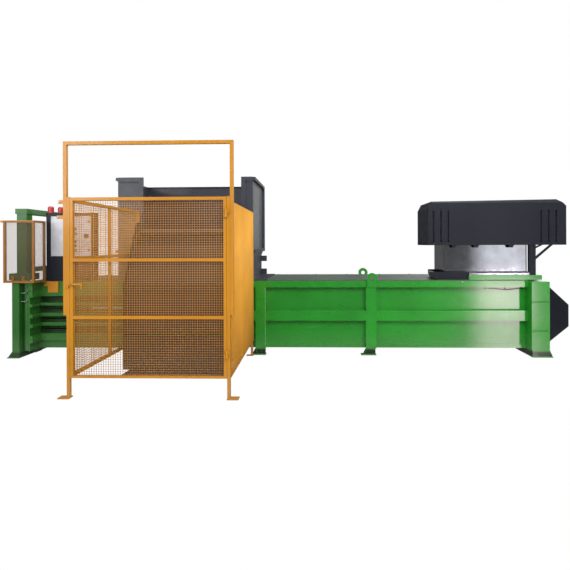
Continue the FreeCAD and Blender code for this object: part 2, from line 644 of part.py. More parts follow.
def main_rod():
    y = CHANNEL_WIDTH / 2
    seat = RAM_FACE + RAM_LENGTH - 80
    rod = rod_x(y, MAIN_AXIS_Z, seat, MAIN_BARREL_END - 330, MAIN_ROD_R)
    flange = rod_x(y, MAIN_AXIS_Z, seat, seat + 40, MAIN_ROD_R + 45)
    piston = rod_x(y, MAIN_AXIS_Z, MAIN_BARREL_END - 330, MAIN_BARREL_END - 230, MAIN_BORE_R - ROD_GAP)
    return join([rod, flange, piston])


# ---- hopper ------------------------------------------------------------------------------------------------------------
HOPPER_FOOT = CHANNEL_TOP + BASE_FLANGE


def hopper_profile(front, back_high, back_low, top):
    return [(front, HOPPER_FOOT), (back_low, HOPPER_FOOT), (back_low, HOPPER_STEP_LOW),
            (back_high, HOPPER_STEP_HIGH), (back_high, top), (front, top)]


def hopper_side(x_out, inward):
    """Side wall with a rim round its upper edge and a pressed border."""
    x_in = x_out + inward * HOPPER_SHEET
    lo, hi = min(x_out, x_in), max(x_out, x_in)
    wall = slab_x(hopper_profile(0, HOPPER_BACK_HIGH, HOPPER_BACK_LOW, HOPPER_TOP), lo, hi)
    r0, r1 = sorted((x_out, x_out - inward * RIM_WIDTH))
    top = box(r0, r1, 0, HOPPER_BACK_HIGH, HOPPER_TOP - 45, HOPPER_TOP)
    back = box(r0, r1, HOPPER_BACK_HIGH - 60, HOPPER_BACK_HIGH, HOPPER_STEP_HIGH, HOPPER_TOP)
    low = box(r0, r1, 0, HOPPER_BACK_HIGH, HOPPER_STEP_HIGH, HOPPER_STEP_HIGH + 40)
    return join([wall, top, back, low])


def hopper_left():
    return hopper_side(HOPPER_LEFT, 1)


def hopper_right():
    return hopper_side(HOPPER_RIGHT, -1)


def hopper_rear():
    """Rear wall with a step, flanged along its top."""
    x0 = HOPPER_LEFT + HOPPER_SHEET
    x1 = HOPPER_RIGHT - HOPPER_SHEET
    t = HOPPER_SHEET
    low, high = HOPPER_BACK_LOW, HOPPER_BACK_HIGH
    outline = [(low - t, HOPPER_FOOT), (low, HOPPER_FOOT), (low, HOPPER_STEP_LOW), (high, HOPPER_STEP_HIGH),
               (high, HOPPER_TOP), (high - 50, HOPPER_TOP), (high - 50, HOPPER_TOP - t), (high - t, HOPPER_TOP - t),
               (high - t, HOPPER_STEP_HIGH + t), (low - t, HOPPER_STEP_LOW + t)]
    return slab_x(outline, x0, x1)


def wing(x0, x1, inner_x, inner_sign):
    """Front wing: sheet with a folded border along its top and its mouth edge."""
    sheet = box(x0, x1, 0, HOPPER_SHEET, HOPPER_FOOT, HOPPER_TOP)
    top = box(x0, x1, -WING_FOLD, 0, HOPPER_TOP - WING_FRAME, HOPPER_TOP)
    a, b = sorted((inner_x, inner_x + inner_sign * WING_FRAME))
    edge = box(a, b, -WING_FOLD, 0, HOPPER_FOOT, HOPPER_TOP)
    return join([sheet, top, edge])


def hopper_wings():
    left = wing(HOPPER_LEFT + HOPPER_SHEET, MOUTH_LEFT, MOUTH_LEFT, -1)
    right = wing(MOUTH_RIGHT, HOPPER_RIGHT - HOPPER_SHEET, MOUTH_RIGHT, 1)
    return Part.makeCompound([left, right])


def hopper_flange():
    """Base ring between the channel roof and the hopper walls."""
    ring = box(BASE_FLANGE_LEFT, BASE_FLANGE_RIGHT, -40, CHANNEL_WIDTH + 40, CHANNEL_TOP, HOPPER_FOOT)
    opening = box(FEED_LEFT, FEED_RIGHT, PLATE + 8, HOPPER_BACK_LOW - HOPPER_SHEET, CHANNEL_TOP - 1, HOPPER_FOOT + 1)
    return ring.cut(opening)


def hopper_stubs():
    """Two open square tube ends on the hopper's right side."""
    stubs = []
    y1 = HOPPER_BACK_LOW - 4
    for z in STUB_LEVELS:
        tube = box(HOPPER_RIGHT, HOPPER_RIGHT + STUB, y1 - STUB, y1, z, z + STUB)
        stubs.append(tube.cut(box(HOPPER_RIGHT + 20, HOPPER_RIGHT + STUB + 1, y1 - STUB + 6, y1 - 6, z + 6,
                                  z + STUB - 6)))
    return Part.makeCompound(stubs)


def feed_apron():
    """Sloping plate that leads the tipped load from the lifter into the mouth."""
    t = APRON_SHEET
    outline = [(-APRON_OUT, APRON_TOP), (-APRON_OUT + t, APRON_TOP + t / 2), (0, HOPPER_FOOT + t), (0, HOPPER_FOOT),
               (-40, HOPPER_FOOT), (-RAIL_REACH, HOPPER_FOOT + 34)]
    return slab_x(outline, LIFTER_LEFT + CHEEK, LIFTER_RIGHT - CHEEK)


# ---- bin lifter ----------------------------------------------------------------------------------------------------------
def lifter_cheek(x0):
    back = -RAIL_REACH - POST_PROUD
    outline = [(-LIFTER_FRONT, 0), (-LIFTER_FRONT, LIFTER_KNEE), (-LIFTER_TOP_FRONT, LIFTER_TOP),
               (-LIFTER_TOP_FRONT + 140, LIFTER_TOP), (back, CHANNEL_TOP + 180), (back, 0)]
    plate = slab_x(outline, x0, x0 + CHEEK)
    bore = rod_x(-PIVOT_OUT, PIVOT_Z, x0 - 1, x0 + CHEEK + 1, SHAFT_R + SHAFT_CLEARANCE)
    return plate.cut(bore)


def lifter_stand():
    """Two cheeks tied by a kick plate and a cross tube at the floor."""
    left = lifter_cheek(LIFTER_LEFT)
    right = lifter_cheek(LIFTER_RIGHT - CHEEK)
    x0 = LIFTER_LEFT + CHEEK
    x1 = LIFTER_RIGHT - CHEEK
    kick = box(x0, x1, -LIFTER_FRONT + 10, -LIFTER_FRONT + 20, 0, CRADLE_LOW - 20)
    tie = box(x0, x1, -RAIL_REACH - 110, -RAIL_REACH - 40, 700, 770)
    floor = box(x0, x1, -LIFTER_FRONT, -RAIL_REACH - POST_PROUD, 0, 8)
    sill = box(LIFTER_LEFT + SILL_LEFT, LIFTER_RIGHT + SILL_RIGHT, -LIFTER_SILL, -LIFTER_FRONT + 20, 0, 8)
    return join([left, right, kick, tie, floor, sill])


def bin_cradle():
    """Two bent arms with back plates, a rim comb and a lower lip that carry the bin."""
    x0 = LIFTER_LEFT + CHEEK + ARM_GAP
    x1 = LIFTER_RIGHT - CHEEK - ARM_GAP
    f = -LIFTER_FRONT
    outline = [(-LIFTER_TOP_FRONT + 40, LIFTER_TOP - 60), (-LIFTER_TOP_FRONT - 34, LIFTER_TOP - 62), (f, LIFTER_KNEE),
               (f, CRADLE_LOW), (f + ARM_BAND, CRADLE_LOW), (f + ARM_BAND, LIFTER_KNEE - 20),
               (-PIVOT_OUT - 60, PIVOT_Z - 130), (-PIVOT_OUT + 60, PIVOT_Z - 70)]
    hole = rod_x(-PIVOT_OUT, PIVOT_Z, x0 - 1, x1 + 1, SHAFT_R)
    arms = [slab_x(outline, x0, x0 + ARM).cut(hole), slab_x(outline, x1 - ARM, x1).cut(hole)]
    t = CRADLE_SHEET
    back = f + TEETH_REACH
    slope_y = -LIFTER_TOP_FRONT - SLOPE_BACK
    slope = slab_x([(back, LIFTER_KNEE + t), (back + t, LIFTER_KNEE), (slope_y + t, SLOPE_TOP - t), (slope_y, SLOPE_TOP)],
                   x0 + ARM, x1 - ARM)
    upright = box(x0 + ARM, x1 - ARM, back, back + t, CRADLE_LOW, LIFTER_KNEE + t)
    lip = box(x0 + ARM, x1 - ARM, f, f + ARM_BAND, CRADLE_LOW, CRADLE_LOW + CRADLE_LIP)
    comb_bar = box(x0 + ARM, x1 - ARM, f, back, LIFTER_KNEE - 90, LIFTER_KNEE - 40)
    pieces = arms + [slope, upright, lip, comb_bar]
    pitch = (x1 - x0 - 2 * ARM - TOOTH - 50) / (TEETH - 1)
    for i in range(TEETH):
        x = x0 + ARM + 25 + i * pitch
        pieces.append(box(x, x + TOOTH, f, back, LIFTER_KNEE - 40, LIFTER_KNEE + 8))
    return join(pieces)


def lifter_shaft():
    return rod_x(-PIVOT_OUT, PIVOT_Z, LIFTER_LEFT - 12, LIFTER_RIGHT + 12, SHAFT_R)


# ---- safety cage --------------------------------------------------------------------------------------------------------------
def cage_post(x, foot_x):
    post = box(x, x + CAGE_TUBE, -CAGE_FRONT, -CAGE_FRONT + CAGE_TUBE, CAGE_FOOT_PLATE, CAGE_TOP)
    hollow = box(x + 3, x + CAGE_TUBE - 3, -CAGE_FRONT + 3, -CAGE_FRONT + CAGE_TUBE - 3, CAGE_FOOT_PLATE + 3,
                 CAGE_TOP - 3)
    plate = box(foot_x, foot_x + CAGE_FOOT, -CAGE_FRONT - 30, -CAGE_FRONT + CAGE_TUBE + 30, 0, CAGE_FOOT_PLATE)
    return post.cut(hollow), plate


FOOT_HOLE_R = 7.0


def foot_hole_x(side):
    """X of the floor bolt's hole in a cage foot; side is -1 for the left foot."""
    if side < 0:
        return CAGE_LEFT + CAGE_TUBE - CAGE_FOOT + 28
    return CAGE_RIGHT - CAGE_TUBE + CAGE_FOOT - 28


def cage_posts():
    """Front posts on drilled foot plates, with the gate's hinge bosses and latch keeper."""
    solids = []
    for side in (-1, 1):
        x = CAGE_LEFT if side < 0 else CAGE_RIGHT - CAGE_TUBE
        foot_x = CAGE_LEFT + CAGE_TUBE - CAGE_FOOT if side < 0 else x
        post, plate = cage_post(x, foot_x)
        hole = rod_z(foot_hole_x(side), -CAGE_FRONT + CAGE_TUBE / 2, -1, CAGE_FOOT_PLATE + 1, FOOT_HOLE_R)
        solids += [post, plate.cut(hole)]
    solids += [hinge_boss(z + HINGE_HALF) for z in HINGE_LEVELS]
    keeper = box(CAGE_LEFT + 3, CAGE_LEFT + CAGE_TUBE - 6, -CAGE_FRONT - KEEPER_REACH, -CAGE_FRONT,
                 LATCH_Z - 34, LATCH_Z - 10)
    return Part.makeCompound(solids + [keeper])


def hinge_axis():
    return CAGE_RIGHT - CAGE_TUBE - GATE_GAP / 2, -CAGE_FRONT - HINGE_R - 6


def hinge_boss(z):
    """Upper half of a lift-off hinge, with the pin's bore, on the right post."""
    x, y = hinge_axis()
    top = z + HINGE_HALF - 5
    barrel = rod_z(x, y, z, top, HINGE_R + 4)
    leaf = box(x, x + CAGE_TUBE - 4, y - 4, -CAGE_FRONT, z, top)
    return join([barrel, leaf]).cut(rod_z(x, y, z - 1, top + 1, HINGE_R + HINGE_CLEARANCE))


def hinge_knuckle(z):
    """Lower half of the hinge with its pin, on the gate."""
    x, y = hinge_axis()
    top = z + HINGE_HALF - 0.4
    barrel = rod_z(x, y, z, top, HINGE_R + 4)
    pin = rod_z(x, y, z, z + 2 * HINGE_HALF - 10, HINGE_R)
    leaf = box(x - CAGE_TUBE + 4, x, y - 4, -CAGE_FRONT, z, top)
    return join([barrel, pin, leaf])


def gate_fields():
    """Openings of the gate between its stiles and rails."""
    x0 = CAGE_LEFT + 2 * CAGE_TUBE + GATE_GAP
    x1 = CAGE_RIGHT - 2 * CAGE_TUBE - GATE_GAP
    levels = [GATE_LOW + GATE_SILL]
    for z in GATE_RAILS:
        levels += [z, z + CAGE_TUBE]
    levels.append(CAGE_TOP - CAGE_TUBE)
    return [(x0, x1, levels[i], levels[i + 1]) for i in (0, 2, 4)]


def gate_frame():
    x0 = CAGE_LEFT + CAGE_TUBE + GATE_GAP
    x1 = CAGE_RIGHT - CAGE_TUBE - GATE_GAP
    outer = box(x0, x1, -CAGE_FRONT, -CAGE_FRONT + CAGE_TUBE, GATE_LOW, CAGE_TOP)
    holes = [box(a, b, -CAGE_FRONT - 1, -CAGE_FRONT + CAGE_TUBE + 1, c, d) for a, b, c, d in gate_fields()]
    frame = outer.cut(Part.makeCompound(holes))
    return join([frame] + [hinge_knuckle(z) for z in HINGE_LEVELS])


def gate_mesh():
    x0 = CAGE_LEFT + CAGE_TUBE + GATE_GAP + MESH_LAP
    x1 = CAGE_RIGHT - CAGE_TUBE - GATE_GAP - MESH_LAP
    return mesh_xz(x0, x1, GATE_LOW + MESH_LAP, CAGE_TOP - MESH_LAP, -CAGE_FRONT + CAGE_TUBE, gate_fields(), 7, 2)


def latch_pivot():
    return CAGE_LEFT + CAGE_TUBE + GATE_GAP + CAGE_TUBE / 2, LATCH_Z


def gate_latch():
    """Lever with a hooked grip on the gate's left stile; its tongue drops behind the keeper."""
    x, z = latch_pivot()
    y1 = -CAGE_FRONT - 0.4
    hub = rod_y(x, z, y1 - 13, y1, 15)
    lever = box(x, x + 120, y1 - 13, y1 - 3, z - 4, z + 14)
    grip = box(x + 102, x + 120, y1 - 13, y1 - 3, z - 42, z)
    tongue = box(x - 42, x, y1 - 13, y1 - 3, z - 8, z + 8)
    return join([hub, lever, grip, tongue])


def goal_frame():
    """Inverted U that frames the bin's path above the gate."""
    x0 = CAGE_LEFT - GOAL_TUBE
    x1 = CAGE_RIGHT + GOAL_TUBE
    y0 = -CAGE_FRONT + GOAL_SETBACK
    y1 = y0 + GOAL_TUBE
    legs = [box(x, x + GOAL_TUBE, y0, y1, GOAL_LOW, GOAL_TOP) for x in (x0, x1 - GOAL_TUBE)]
    bar = box(x0, x1, y0, y1, GOAL_TOP - GOAL_TUBE, GOAL_TOP)
    return join(legs + [bar])


def panel_span():
    return -CAGE_FRONT + CAGE_TUBE, -RAIL_REACH


def panel_fields(top):
    y0, y1 = panel_span()
    middle = (y0 + y1) / 2
    t = CAGE_TUBE
    fields = []
    for a, b in ((y0 + t, middle - t / 2), (middle + t / 2, y1 - t)):
        fields.append((a, b, PANEL_LOW + t, PANEL_RAIL))
        fields.append((a, b, PANEL_RAIL + t, top - t))
    return fields


def side_frame(x, top):
    y0, y1 = panel_span()
    outer = box(x, x + CAGE_TUBE, y0, y1, PANEL_LOW, top)
    holes = [box(x - 1, x + CAGE_TUBE + 1, a, b, c, d) for a, b, c, d in panel_fields(top)]
    return outer.cut(Part.makeCompound(holes))


def side_mesh(x, top):
    y0, y1 = panel_span()
    return mesh_yz(y0 + MESH_LAP, y1 - MESH_LAP, PANEL_LOW + MESH_LAP, top - MESH_LAP, x, panel_fields(top), 3, 3)


# ---- basket guard -----------------------------------------------------------------------------------------------------------
def guard_parts():
    x0, x1, t = GUARD_LEFT, GUARD_RIGHT, GUARD_TUBE
    y0, y1 = -GUARD_FRONT, -RAIL_REACH - 2
    return x0, x1, y0, y1, t


def guard_frame():
    """Mesh guard beside the portal: a front frame, a side frame and its fixing plate."""
    x0, x1, y0, y1, t = guard_parts()
    front = box(x0, x1, y0, y0 + t, GUARD_LOW, GUARD_TOP).cut(
        box(x0 + t, x1 - t, y0 - 1, y0 + t + 1, GUARD_LOW + t, GUARD_TOP - t))
    tail = box(x0 - GUARD_OVERHANG, x0, y0, y0 + t, GUARD_TOP - t, GUARD_TOP)
    side = box(x1 - t, x1, y0, y1, GUARD_LOW, GUARD_TOP).cut(
        box(x1 - t - 1, x1 + 1, y0 + t, y1 - t, GUARD_LOW + t, GUARD_TOP - t))
    plate_y = -RAIL_REACH - 14
    right = x1 + GUARD_PLATE
    step_z = GUARD_LOW - GUARD_PLATE_STEP
    plates = [box(x1 - 18, right, plate_y, -RAIL_REACH, step_z, GUARD_LOW),
              box(x1 + 34, right, plate_y, -RAIL_REACH, GUARD_PLATE_LOW, step_z)]
    lugs = [box(x, x + 40, y0 + t, -END_POST_FRONT, 1110, 1150) for x in (0.0, 150.0)]
    lugs += [box(x, x + 40, y0 + t - 8, y0 + t, GUARD_LOW + t - 5, 1150) for x in (0.0, 150.0)]
    return join([front, tail, side] + plates + lugs)


def guard_mesh():
    x0, x1, y0, y1, t = guard_parts()
    lap = MESH_LAP
    front = mesh_xz(x0 + lap, x1 - lap, GUARD_LOW + lap, GUARD_TOP - lap, y0 - MESH_SHEET,
                    [(x0 + t, x1 - t, GUARD_LOW + t, GUARD_TOP - t)], 3, 5)
    side = mesh_yz(y0 + lap, y1 - lap, GUARD_LOW + lap, GUARD_TOP - lap, x1,
                   [(y0 + t, y1 - t, GUARD_LOW + t, GUARD_TOP - t)], 1, 5)
    return Part.makeCompound([front, side])


# ---- control cabinet ------------------------------------------------------------------------------------------------------------
CABINET_FACE = -RAIL_REACH


def cabinet_box():
    """Sheet enclosure open to its door, on two skids."""
    y0 = CABINET_FACE + CABINET_DOOR + 1
    s = CABINET_SHEET
    shell = box(CABINET_LEFT, CABINET_RIGHT, y0, CABINET_BACK, CABINET_LOW, CABINET_TOP).cut(
        box(CABINET_LEFT + s, CABINET_RIGHT - s, y0 - 1, CABINET_BACK - s, CABINET_LOW + s, CABINET_TOP - s))
    skids = [box(x, x + 40, y0, CABINET_BACK, CHANNEL_TOP, CABINET_LOW) for x in
             (CABINET_LEFT + 20, CABINET_RIGHT - 60)]
    rack = box(CABINET_LEFT + 60, CABINET_RIGHT - 60, CABINET_BACK - s - 15, CABINET_BACK - s,
               CABINET_LOW + 80, CABINET_TOP - 80)
    return join([shell, rack] + skids + [cabinet_boss(z) for z in CABINET_HINGES])


def cabinet_hinge_axis():
    return CABINET_RIGHT + CABINET_HINGE_R, CABINET_FACE - 2


def cabinet_boss(z):
    """Lower half of a cabinet hinge: barrel with its pin and a leaf round to the box's side."""
    x, y = cabinet_hinge_axis()
    top = z + CABINET_HINGE_HALF - 0.4
    side_y = CABINET_FACE + CABINET_DOOR + 1
    barrel = rod_z(x, y, z, top, CABINET_HINGE_R)
    pin = rod_z(x, y, z, z + 2 * CABINET_HINGE_HALF - 3, CABINET_PIN_R)
    leaf = box(CABINET_RIGHT + 0.4, CABINET_RIGHT + 3, y, side_y + 22, z, top)
    pad = box(CABINET_RIGHT, CABINET_RIGHT + 1, side_y, side_y + 22, z, top)
    return join([barrel, pin, leaf, pad])


def cabinet_knuckle(z):
    """Upper half of the hinge on the door's edge."""
    x, y = cabinet_hinge_axis()
    low = z + CABINET_HINGE_HALF
    top = low + CABINET_HINGE_HALF
    barrel = rod_z(x, y, low, top, CABINET_HINGE_R)
    leaf = box(CABINET_RIGHT - 9, x, y - 1, CABINET_FACE, low, top)
    return join([barrel, leaf]).cut(rod_z(x, y, low - 1, top + 1, CABINET_PIN_R + HINGE_CLEARANCE))


def cabinet_door():
    """Door pan with a folded edge and a cut-out behind the operator panel."""
    y0 = CABINET_FACE
    y1 = y0 + CABINET_DOOR
    lap = PANEL_LAP
    door = box(CABINET_LEFT, CABINET_RIGHT, y0, y1, CABINET_LOW, CABINET_TOP)
    pan = box(CABINET_LEFT + 15, CABINET_RIGHT - 15, y0 + 4, y1 + 1, CABINET_LOW + 15, CABINET_TOP - 15)
    window = box(PANEL_X[0] + lap, PANEL_X[1] - lap, y0 - 1, y0 + 5, PANEL_Z[0] + lap, PANEL_Z[1] - lap)
    return join([door.cut(pan).cut(window)] + [cabinet_knuckle(z) for z in CABINET_HINGES])


def operator_panel():
    y1 = CABINET_FACE
    sheet = box(PANEL_X[0], PANEL_X[1], y1 - PANEL_SHEET, y1, PANEL_Z[0], PANEL_Z[1])
    holes = [rod_y(BUTTON_X, z, y1 - PANEL_SHEET - 1, y1 + 1, BUTTON_STEM_R + 0.35) for z in BUTTON_LEVELS]
    holes.append(rod_y(SWITCH_X, SWITCH_Z, y1 - PANEL_SHEET - 1, y1 + 1, BUTTON_STEM_R + 0.35))
    return sheet.cut(Part.makeCompound(holes))


def push_button(z):
    y1 = CABINET_FACE - PANEL_SHEET
    cap = rod_y(BUTTON_X, z, y1 - BUTTON_LENGTH, y1 - BUTTON_TRAVEL - 1, BUTTON_R)
    stem = rod_y(BUTTON_X, z, y1 - BUTTON_TRAVEL - 1, CABINET_FACE + 8, BUTTON_STEM_R)
    return join([cap, stem])


def main_switch():
    """Rotary handle: round base with a raised grip bar."""
    y1 = CABINET_FACE - PANEL_SHEET - 0.4
    base = rod_y(SWITCH_X, SWITCH_Z, y1 - 12, y1, 27)
    grip = box(SWITCH_X - 8, SWITCH_X + 8, y1 - 34, y1 - 12, SWITCH_Z - 26, SWITCH_Z + 26)
    stem = rod_y(SWITCH_X, SWITCH_Z, y1, CABINET_FACE + 8, BUTTON_STEM_R)
    return join([base, grip, stem])


def signal_lamps():
    lamps = []
    for x, y in LAMP_PLACES:
        shoulder = CABINET_TOP + LAMP_HEIGHT - LAMP_CROWN
        dome = rod_z(x, y, CABINET_TOP, shoulder, LAMP_R)
        crown = Part.makeCone(LAMP_R, LAMP_R - LAMP_CROWN, LAMP_CROWN, V(x, y, shoulder), V(0, 0, 1))
        lamps.append(join([dome, crown]))
    return Part.makeCompound(lamps)


# ---- power unit ------------------------------------------------------------------------------------------------------------------
UNIT_SEAT = CHANNEL_TOP + COVER_PLATE


def power_base():
    """Open frame of flat beams under the tank, on the cover plates."""
    frame = box(BASE_X[0], BASE_X[1], BASE_FRONT, UNIT_BACK, UNIT_SEAT, BASE_TOP)
    well = box(BASE_X[0] + BASE_SIDE, BASE_X[1] - BASE_SIDE, BASE_FRONT + BASE_BEAM, UNIT_BACK - BASE_SIDE,
               UNIT_SEAT - 1, BASE_TOP + 1)
    return frame.cut(well)


def drip_tray():
    """Plate under the tank that drops into an open tray, chamfered at its left end."""
    left, right = TRAY_LEFT, BRACKET_X
    plate_low = TRAY_TOP - TRAY_PLATE
    back = UNIT_BACK - 20
    outline = [(left, TRAY_TOP), (left, TRAY_TOP - 60), (left + TRAY_CHAMFER, UNIT_SEAT), (BASE_X[0], UNIT_SEAT),
               (BASE_X[0], plate_low), (right, plate_low), (right, TRAY_TOP)]
    tray = slab_y(outline, TRAY_FRONT, back)
    mouth = box(left + SHEET, BASE_X[0] - SHEET, TRAY_FRONT + SHEET, back - SHEET, plate_low, TRAY_TOP + 1)
    sump = box(left + TRAY_CHAMFER, BASE_X[0] - SHEET, TRAY_FRONT + SHEET, back - SHEET,
               UNIT_SEAT + SHEET, plate_low + 1)
    return tray.cut(Part.makeCompound([mouth, sump]))


def oil_tank():
    """Tank with rounded corners, and the low frame that its plate stands on."""
    x0, x1 = TANK_X
    y0, y1 = TANK_Y
    tank = box(x0, x1, y0, y1, TRAY_TOP, TANK_TOP)
    edges = [e for e in tank.Edges if e.BoundBox.ZLength > 100]
    tank = tank.makeFillet(TANK_CORNER, edges)
    inside = box(x0 + SHEET, x1 - SHEET, y0 + SHEET, y1 - SHEET, TRAY_TOP + SHEET, TANK_TOP - SHEET)
    left, front = SKIRT
    back = UNIT_BACK - 30
    low, high = BASE_TOP, TRAY_TOP - TRAY_PLATE
    skirt = box(left, BRACKET_X - 2, front, back, low, high).cut(
        box(left + 50, BRACKET_X - 50, front + BASE_BEAM - 40, back - 40, low - 1, high + 1))
    return Part.makeCompound([tank.cut(inside), skirt])


def hood_outline(inset):
    """Front view of the hood with its chamfered shoulders."""
    x0, x1 = HOOD_X[0] + inset, HOOD_X[1] - inset
    top = HOOD_TOP - inset
    c = HOOD_CHAMFER
    left_top = top - HOOD_SLOPE
    return [(x0, HOOD_LOW), (x1, HOOD_LOW), (x1, top - c), (x1 - c, top), (x0 + c / 2, left_top), (x0, left_top - c)]


def power_hood():
    """Folded hood, open underneath, with louvre slots at both ends of its front."""
    y0, y1 = HOOD_Y
    s = HOOD_SHEET
    c = HOOD_CHAMFER
    nose = slab_x([(y0 - 1, HOOD_TOP - c / 2), (y0 - 1, HOOD_TOP + 1), (y0 + c * 0.8, HOOD_TOP + 1)],
                  HOOD_X[0] - 1, HOOD_X[1] + 1)
    inner_nose = nose.copy()
    inner_nose.translate(V(0, s, -s))
    outer = slab_y(hood_outline(0), y0, y1).cut(nose)
    inner = slab_y(hood_outline(s), y0 + s, y1 - s).cut(inner_nose)
    shell = outer.cut(inner)
    rim = box(HOOD_X[0], HOOD_X[1], y0, y1, HOOD_LOW, HOOD_LOW + s).cut(
        box(HOOD_X[0] + HOOD_RIM, HOOD_X[1] - HOOD_RIM, y0 + HOOD_RIM, y1 - HOOD_RIM, HOOD_LOW - 1, HOOD_LOW + s + 1))
    vents = []
    for x in VENT_COLUMNS:
        rows = 4
        pitch = (VENT_HIGH - VENT_LOW) / rows
        for i in range(rows):
            z = VENT_LOW + i * pitch
            vents.append(box(x, x + VENT_WIDTH, y0 - 1, y0 + s + 1, z, z + pitch - 24))
    half = STOP_WIDTH / 2
    stops = [slab_y([(x - half, HOOD_LOW), (x - half / 2, HOOD_LOW - STOP_HEIGHT), (x + half / 2, HOOD_LOW - STOP_HEIGHT),
                     (x + half, HOOD_LOW)], y0 + 6, y0 + 36) for x in HOOD_STOPS]
    return join([shell, rim] + stops).cut(Part.makeCompound(vents))


def hood_bracket():
    """Upright plate beside the tank, two struts under the hood's overhang and bars over the lid."""
    y0, y1 = HOOD_Y[0] + 20, TANK_Y[0]
    upright = box(BRACKET_X, BRACKET_X + BRACKET_WIDTH, y0, y1, BASE_TOP, HOOD_LOW)
    pieces = [upright]
    for z, x_top in STRUT_LINES:
        pieces.append(slab_y([(BRACKET_X + 20, z), (BRACKET_X + 20, z + STRUT + 14), (x_top - STRUT, HOOD_LOW),
                              (x_top + 14, HOOD_LOW)], y0, y0 + STRUT))
    return Part.makeCompound([join(pieces)] + hood_carriers())


def hood_carriers():
    """Two flat bars across the tank lid that the hood is bolted to."""
    bars = []
    for x in (TANK_X[0] + 80, TANK_X[1] - 120):
        bars.append(box(x, x + 40, HOOD_Y[0] + HOOD_SHEET, HOOD_Y[1] - HOOD_SHEET, TANK_TOP, TANK_TOP + 25))
    return bars


def electric_motor():
    """Motor and bell housing on the tank lid."""
    y = (TANK_Y[0] + TANK_Y[1]) / 2
    z = TANK_TOP + MOTOR_R + 20
    body = rod_x(y, z, MOTOR_X[0], MOTOR_X[1], MOTOR_R)
    feet = box(MOTOR_X[0] + 80, MOTOR_X[1] - 80, y - MOTOR_R + 20, y + MOTOR_R - 20, TANK_TOP, z - MOTOR_R + 40)
    terminal = box(MOTOR_X[0] + 170, MOTOR_X[1] - 170, y - 60, y + 60, z + MOTOR_R - 20, z + MOTOR_R + 50)
    return join([body, feet, terminal])


def hydraulic_pump():
    y = (TANK_Y[0] + TANK_Y[1]) / 2
    z = TANK_TOP + MOTOR_R + 20
    bell = rod_x(y, z, MOTOR_X[1], MOTOR_X[1] + 110, MOTOR_R - 30)
    pump = rod_x(y, z, MOTOR_X[1] + 110, PUMP_END, PUMP_R)
    suction = rod_z(PUMP_END - 70, y, TANK_TOP, z, 28)
    return join([bell, pump, suction])


# ---- assembly --------------------------------------------------------------------------------------------------------------------
def assembly():
    """Every piece by its node name, in the machine frame."""
    pieces = {
        "end_frame": end_frame(),
        "door_portal": door_portal(),
        "door_cylinders": both_sides(door_cylinder()),
        "cylinder_pipes": cylinder_pipes(),
        "bale_door": bale_door(),
        "door_rods": door_rods(),
        "chamber_wall_front": chamber_wall(),
        "chamber_wall_rear": rear_of(chamber_wall()),
        "channel_floor": channel_floor(),
        "side_wall_front": side_wall(),
        "side_wall_rear": rear_of(side_wall()),
        "wall_posts_front": front_posts(),
        "wall_posts_rear": rear_of(front_posts()),
        "chamber_roof": chamber_roof(),
        "roof_covers": roof_covers(),
        "lifting_lugs": both_sides(lifting_lug()),
        "right_end_frame": right_end_frame(),
        "rear_cover": rear_cover(),
        "main_cylinder": main_cylinder(),
        "press_ram": press_ram(),
        "fixed_knife": fixed_knife(),
        "main_rod": main_rod(),
        "hopper_left_wall": hopper_left(),
        "hopper_right_wall": hopper_right(),
        "hopper_rear_wall": hopper_rear(),
        "hopper_wings": hopper_wings(),
        "hopper_flange": hopper_flange(),
        "hopper_stubs": hopper_stubs(),
        "feed_apron": feed_apron(),
        "lifter_stand": lifter_stand(),
        "bin_cradle": bin_cradle(),
        "lifter_shaft": lifter_shaft(),
        "cage_posts": cage_posts(),
        "goal_frame": goal_frame(),
        "gate_frame": gate_frame(),
        "gate_mesh": gate_mesh(),
        "gate_latch": gate_latch(),
        "side_frame_left": side_frame(CAGE_LEFT, PANEL_TOPS[0]),
        "side_frame_right": side_frame(CAGE_RIGHT - CAGE_TUBE, PANEL_TOPS[1]),
        "side_mesh_left": side_mesh(CAGE_LEFT - MESH_SHEET, PANEL_TOPS[0]),
        "side_mesh_right": side_mesh(CAGE_RIGHT, PANEL_TOPS[1]),
        "guard_frame": guard_frame(),
        "guard_mesh": guard_mesh(),
        "cabinet_box": cabinet_box(),
        "cabinet_door": cabinet_door(),
        "operator_panel": operator_panel(),
        "main_switch": main_switch(),
        "signal_lamps": signal_lamps(),
        "power_base": power_base(),
        "drip_tray": drip_tray(),
        "oil_tank": oil_tank(),
        "power_hood": power_hood(),
        "hood_bracket": hood_bracket(),
        "electric_motor": electric_motor(),
        "hydraulic_pump": hydraulic_pump(),
    }
    for i, z in enumerate(BUTTON_LEVELS):
        pieces["push_button_%d" % (i + 1)] = push_button(z)
    return pieces


def main():
    pieces = assembly()
    bounds = Part.makeCompound(list(pieces.values())).BoundBox
    shift = V(-bounds.Center.x, -bounds.Center.y, 0)
    os.makedirs("parts", exist_ok=True)
    for name, shape in pieces.items():
        moved = shape.copy()
        moved.translate(shift)
        moved.exportStep("parts/%s.step" % name)
    print("nodes", len(pieces), "shift", round(shift.x, 3), round(shift.y, 3),
          "size", round(bounds.XLength, 1), round(bounds.YLength, 1), round(bounds.ZLength, 1),
          "lowest", round(bounds.ZMin, 3))


main()
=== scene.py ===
"""Looks of the recycling baler: paint, wire mesh, weld seams, fasteners, light and camera.

Most places are in the machine frame, in millimetres: x from the outlet end, y from the channel's front
wall (negative towards the viewer), z from the floor. at() turns them into the scene's frame, in metres.
"""
import bpy
import bmesh
import json
import math
from mathutils import Vector, Matrix


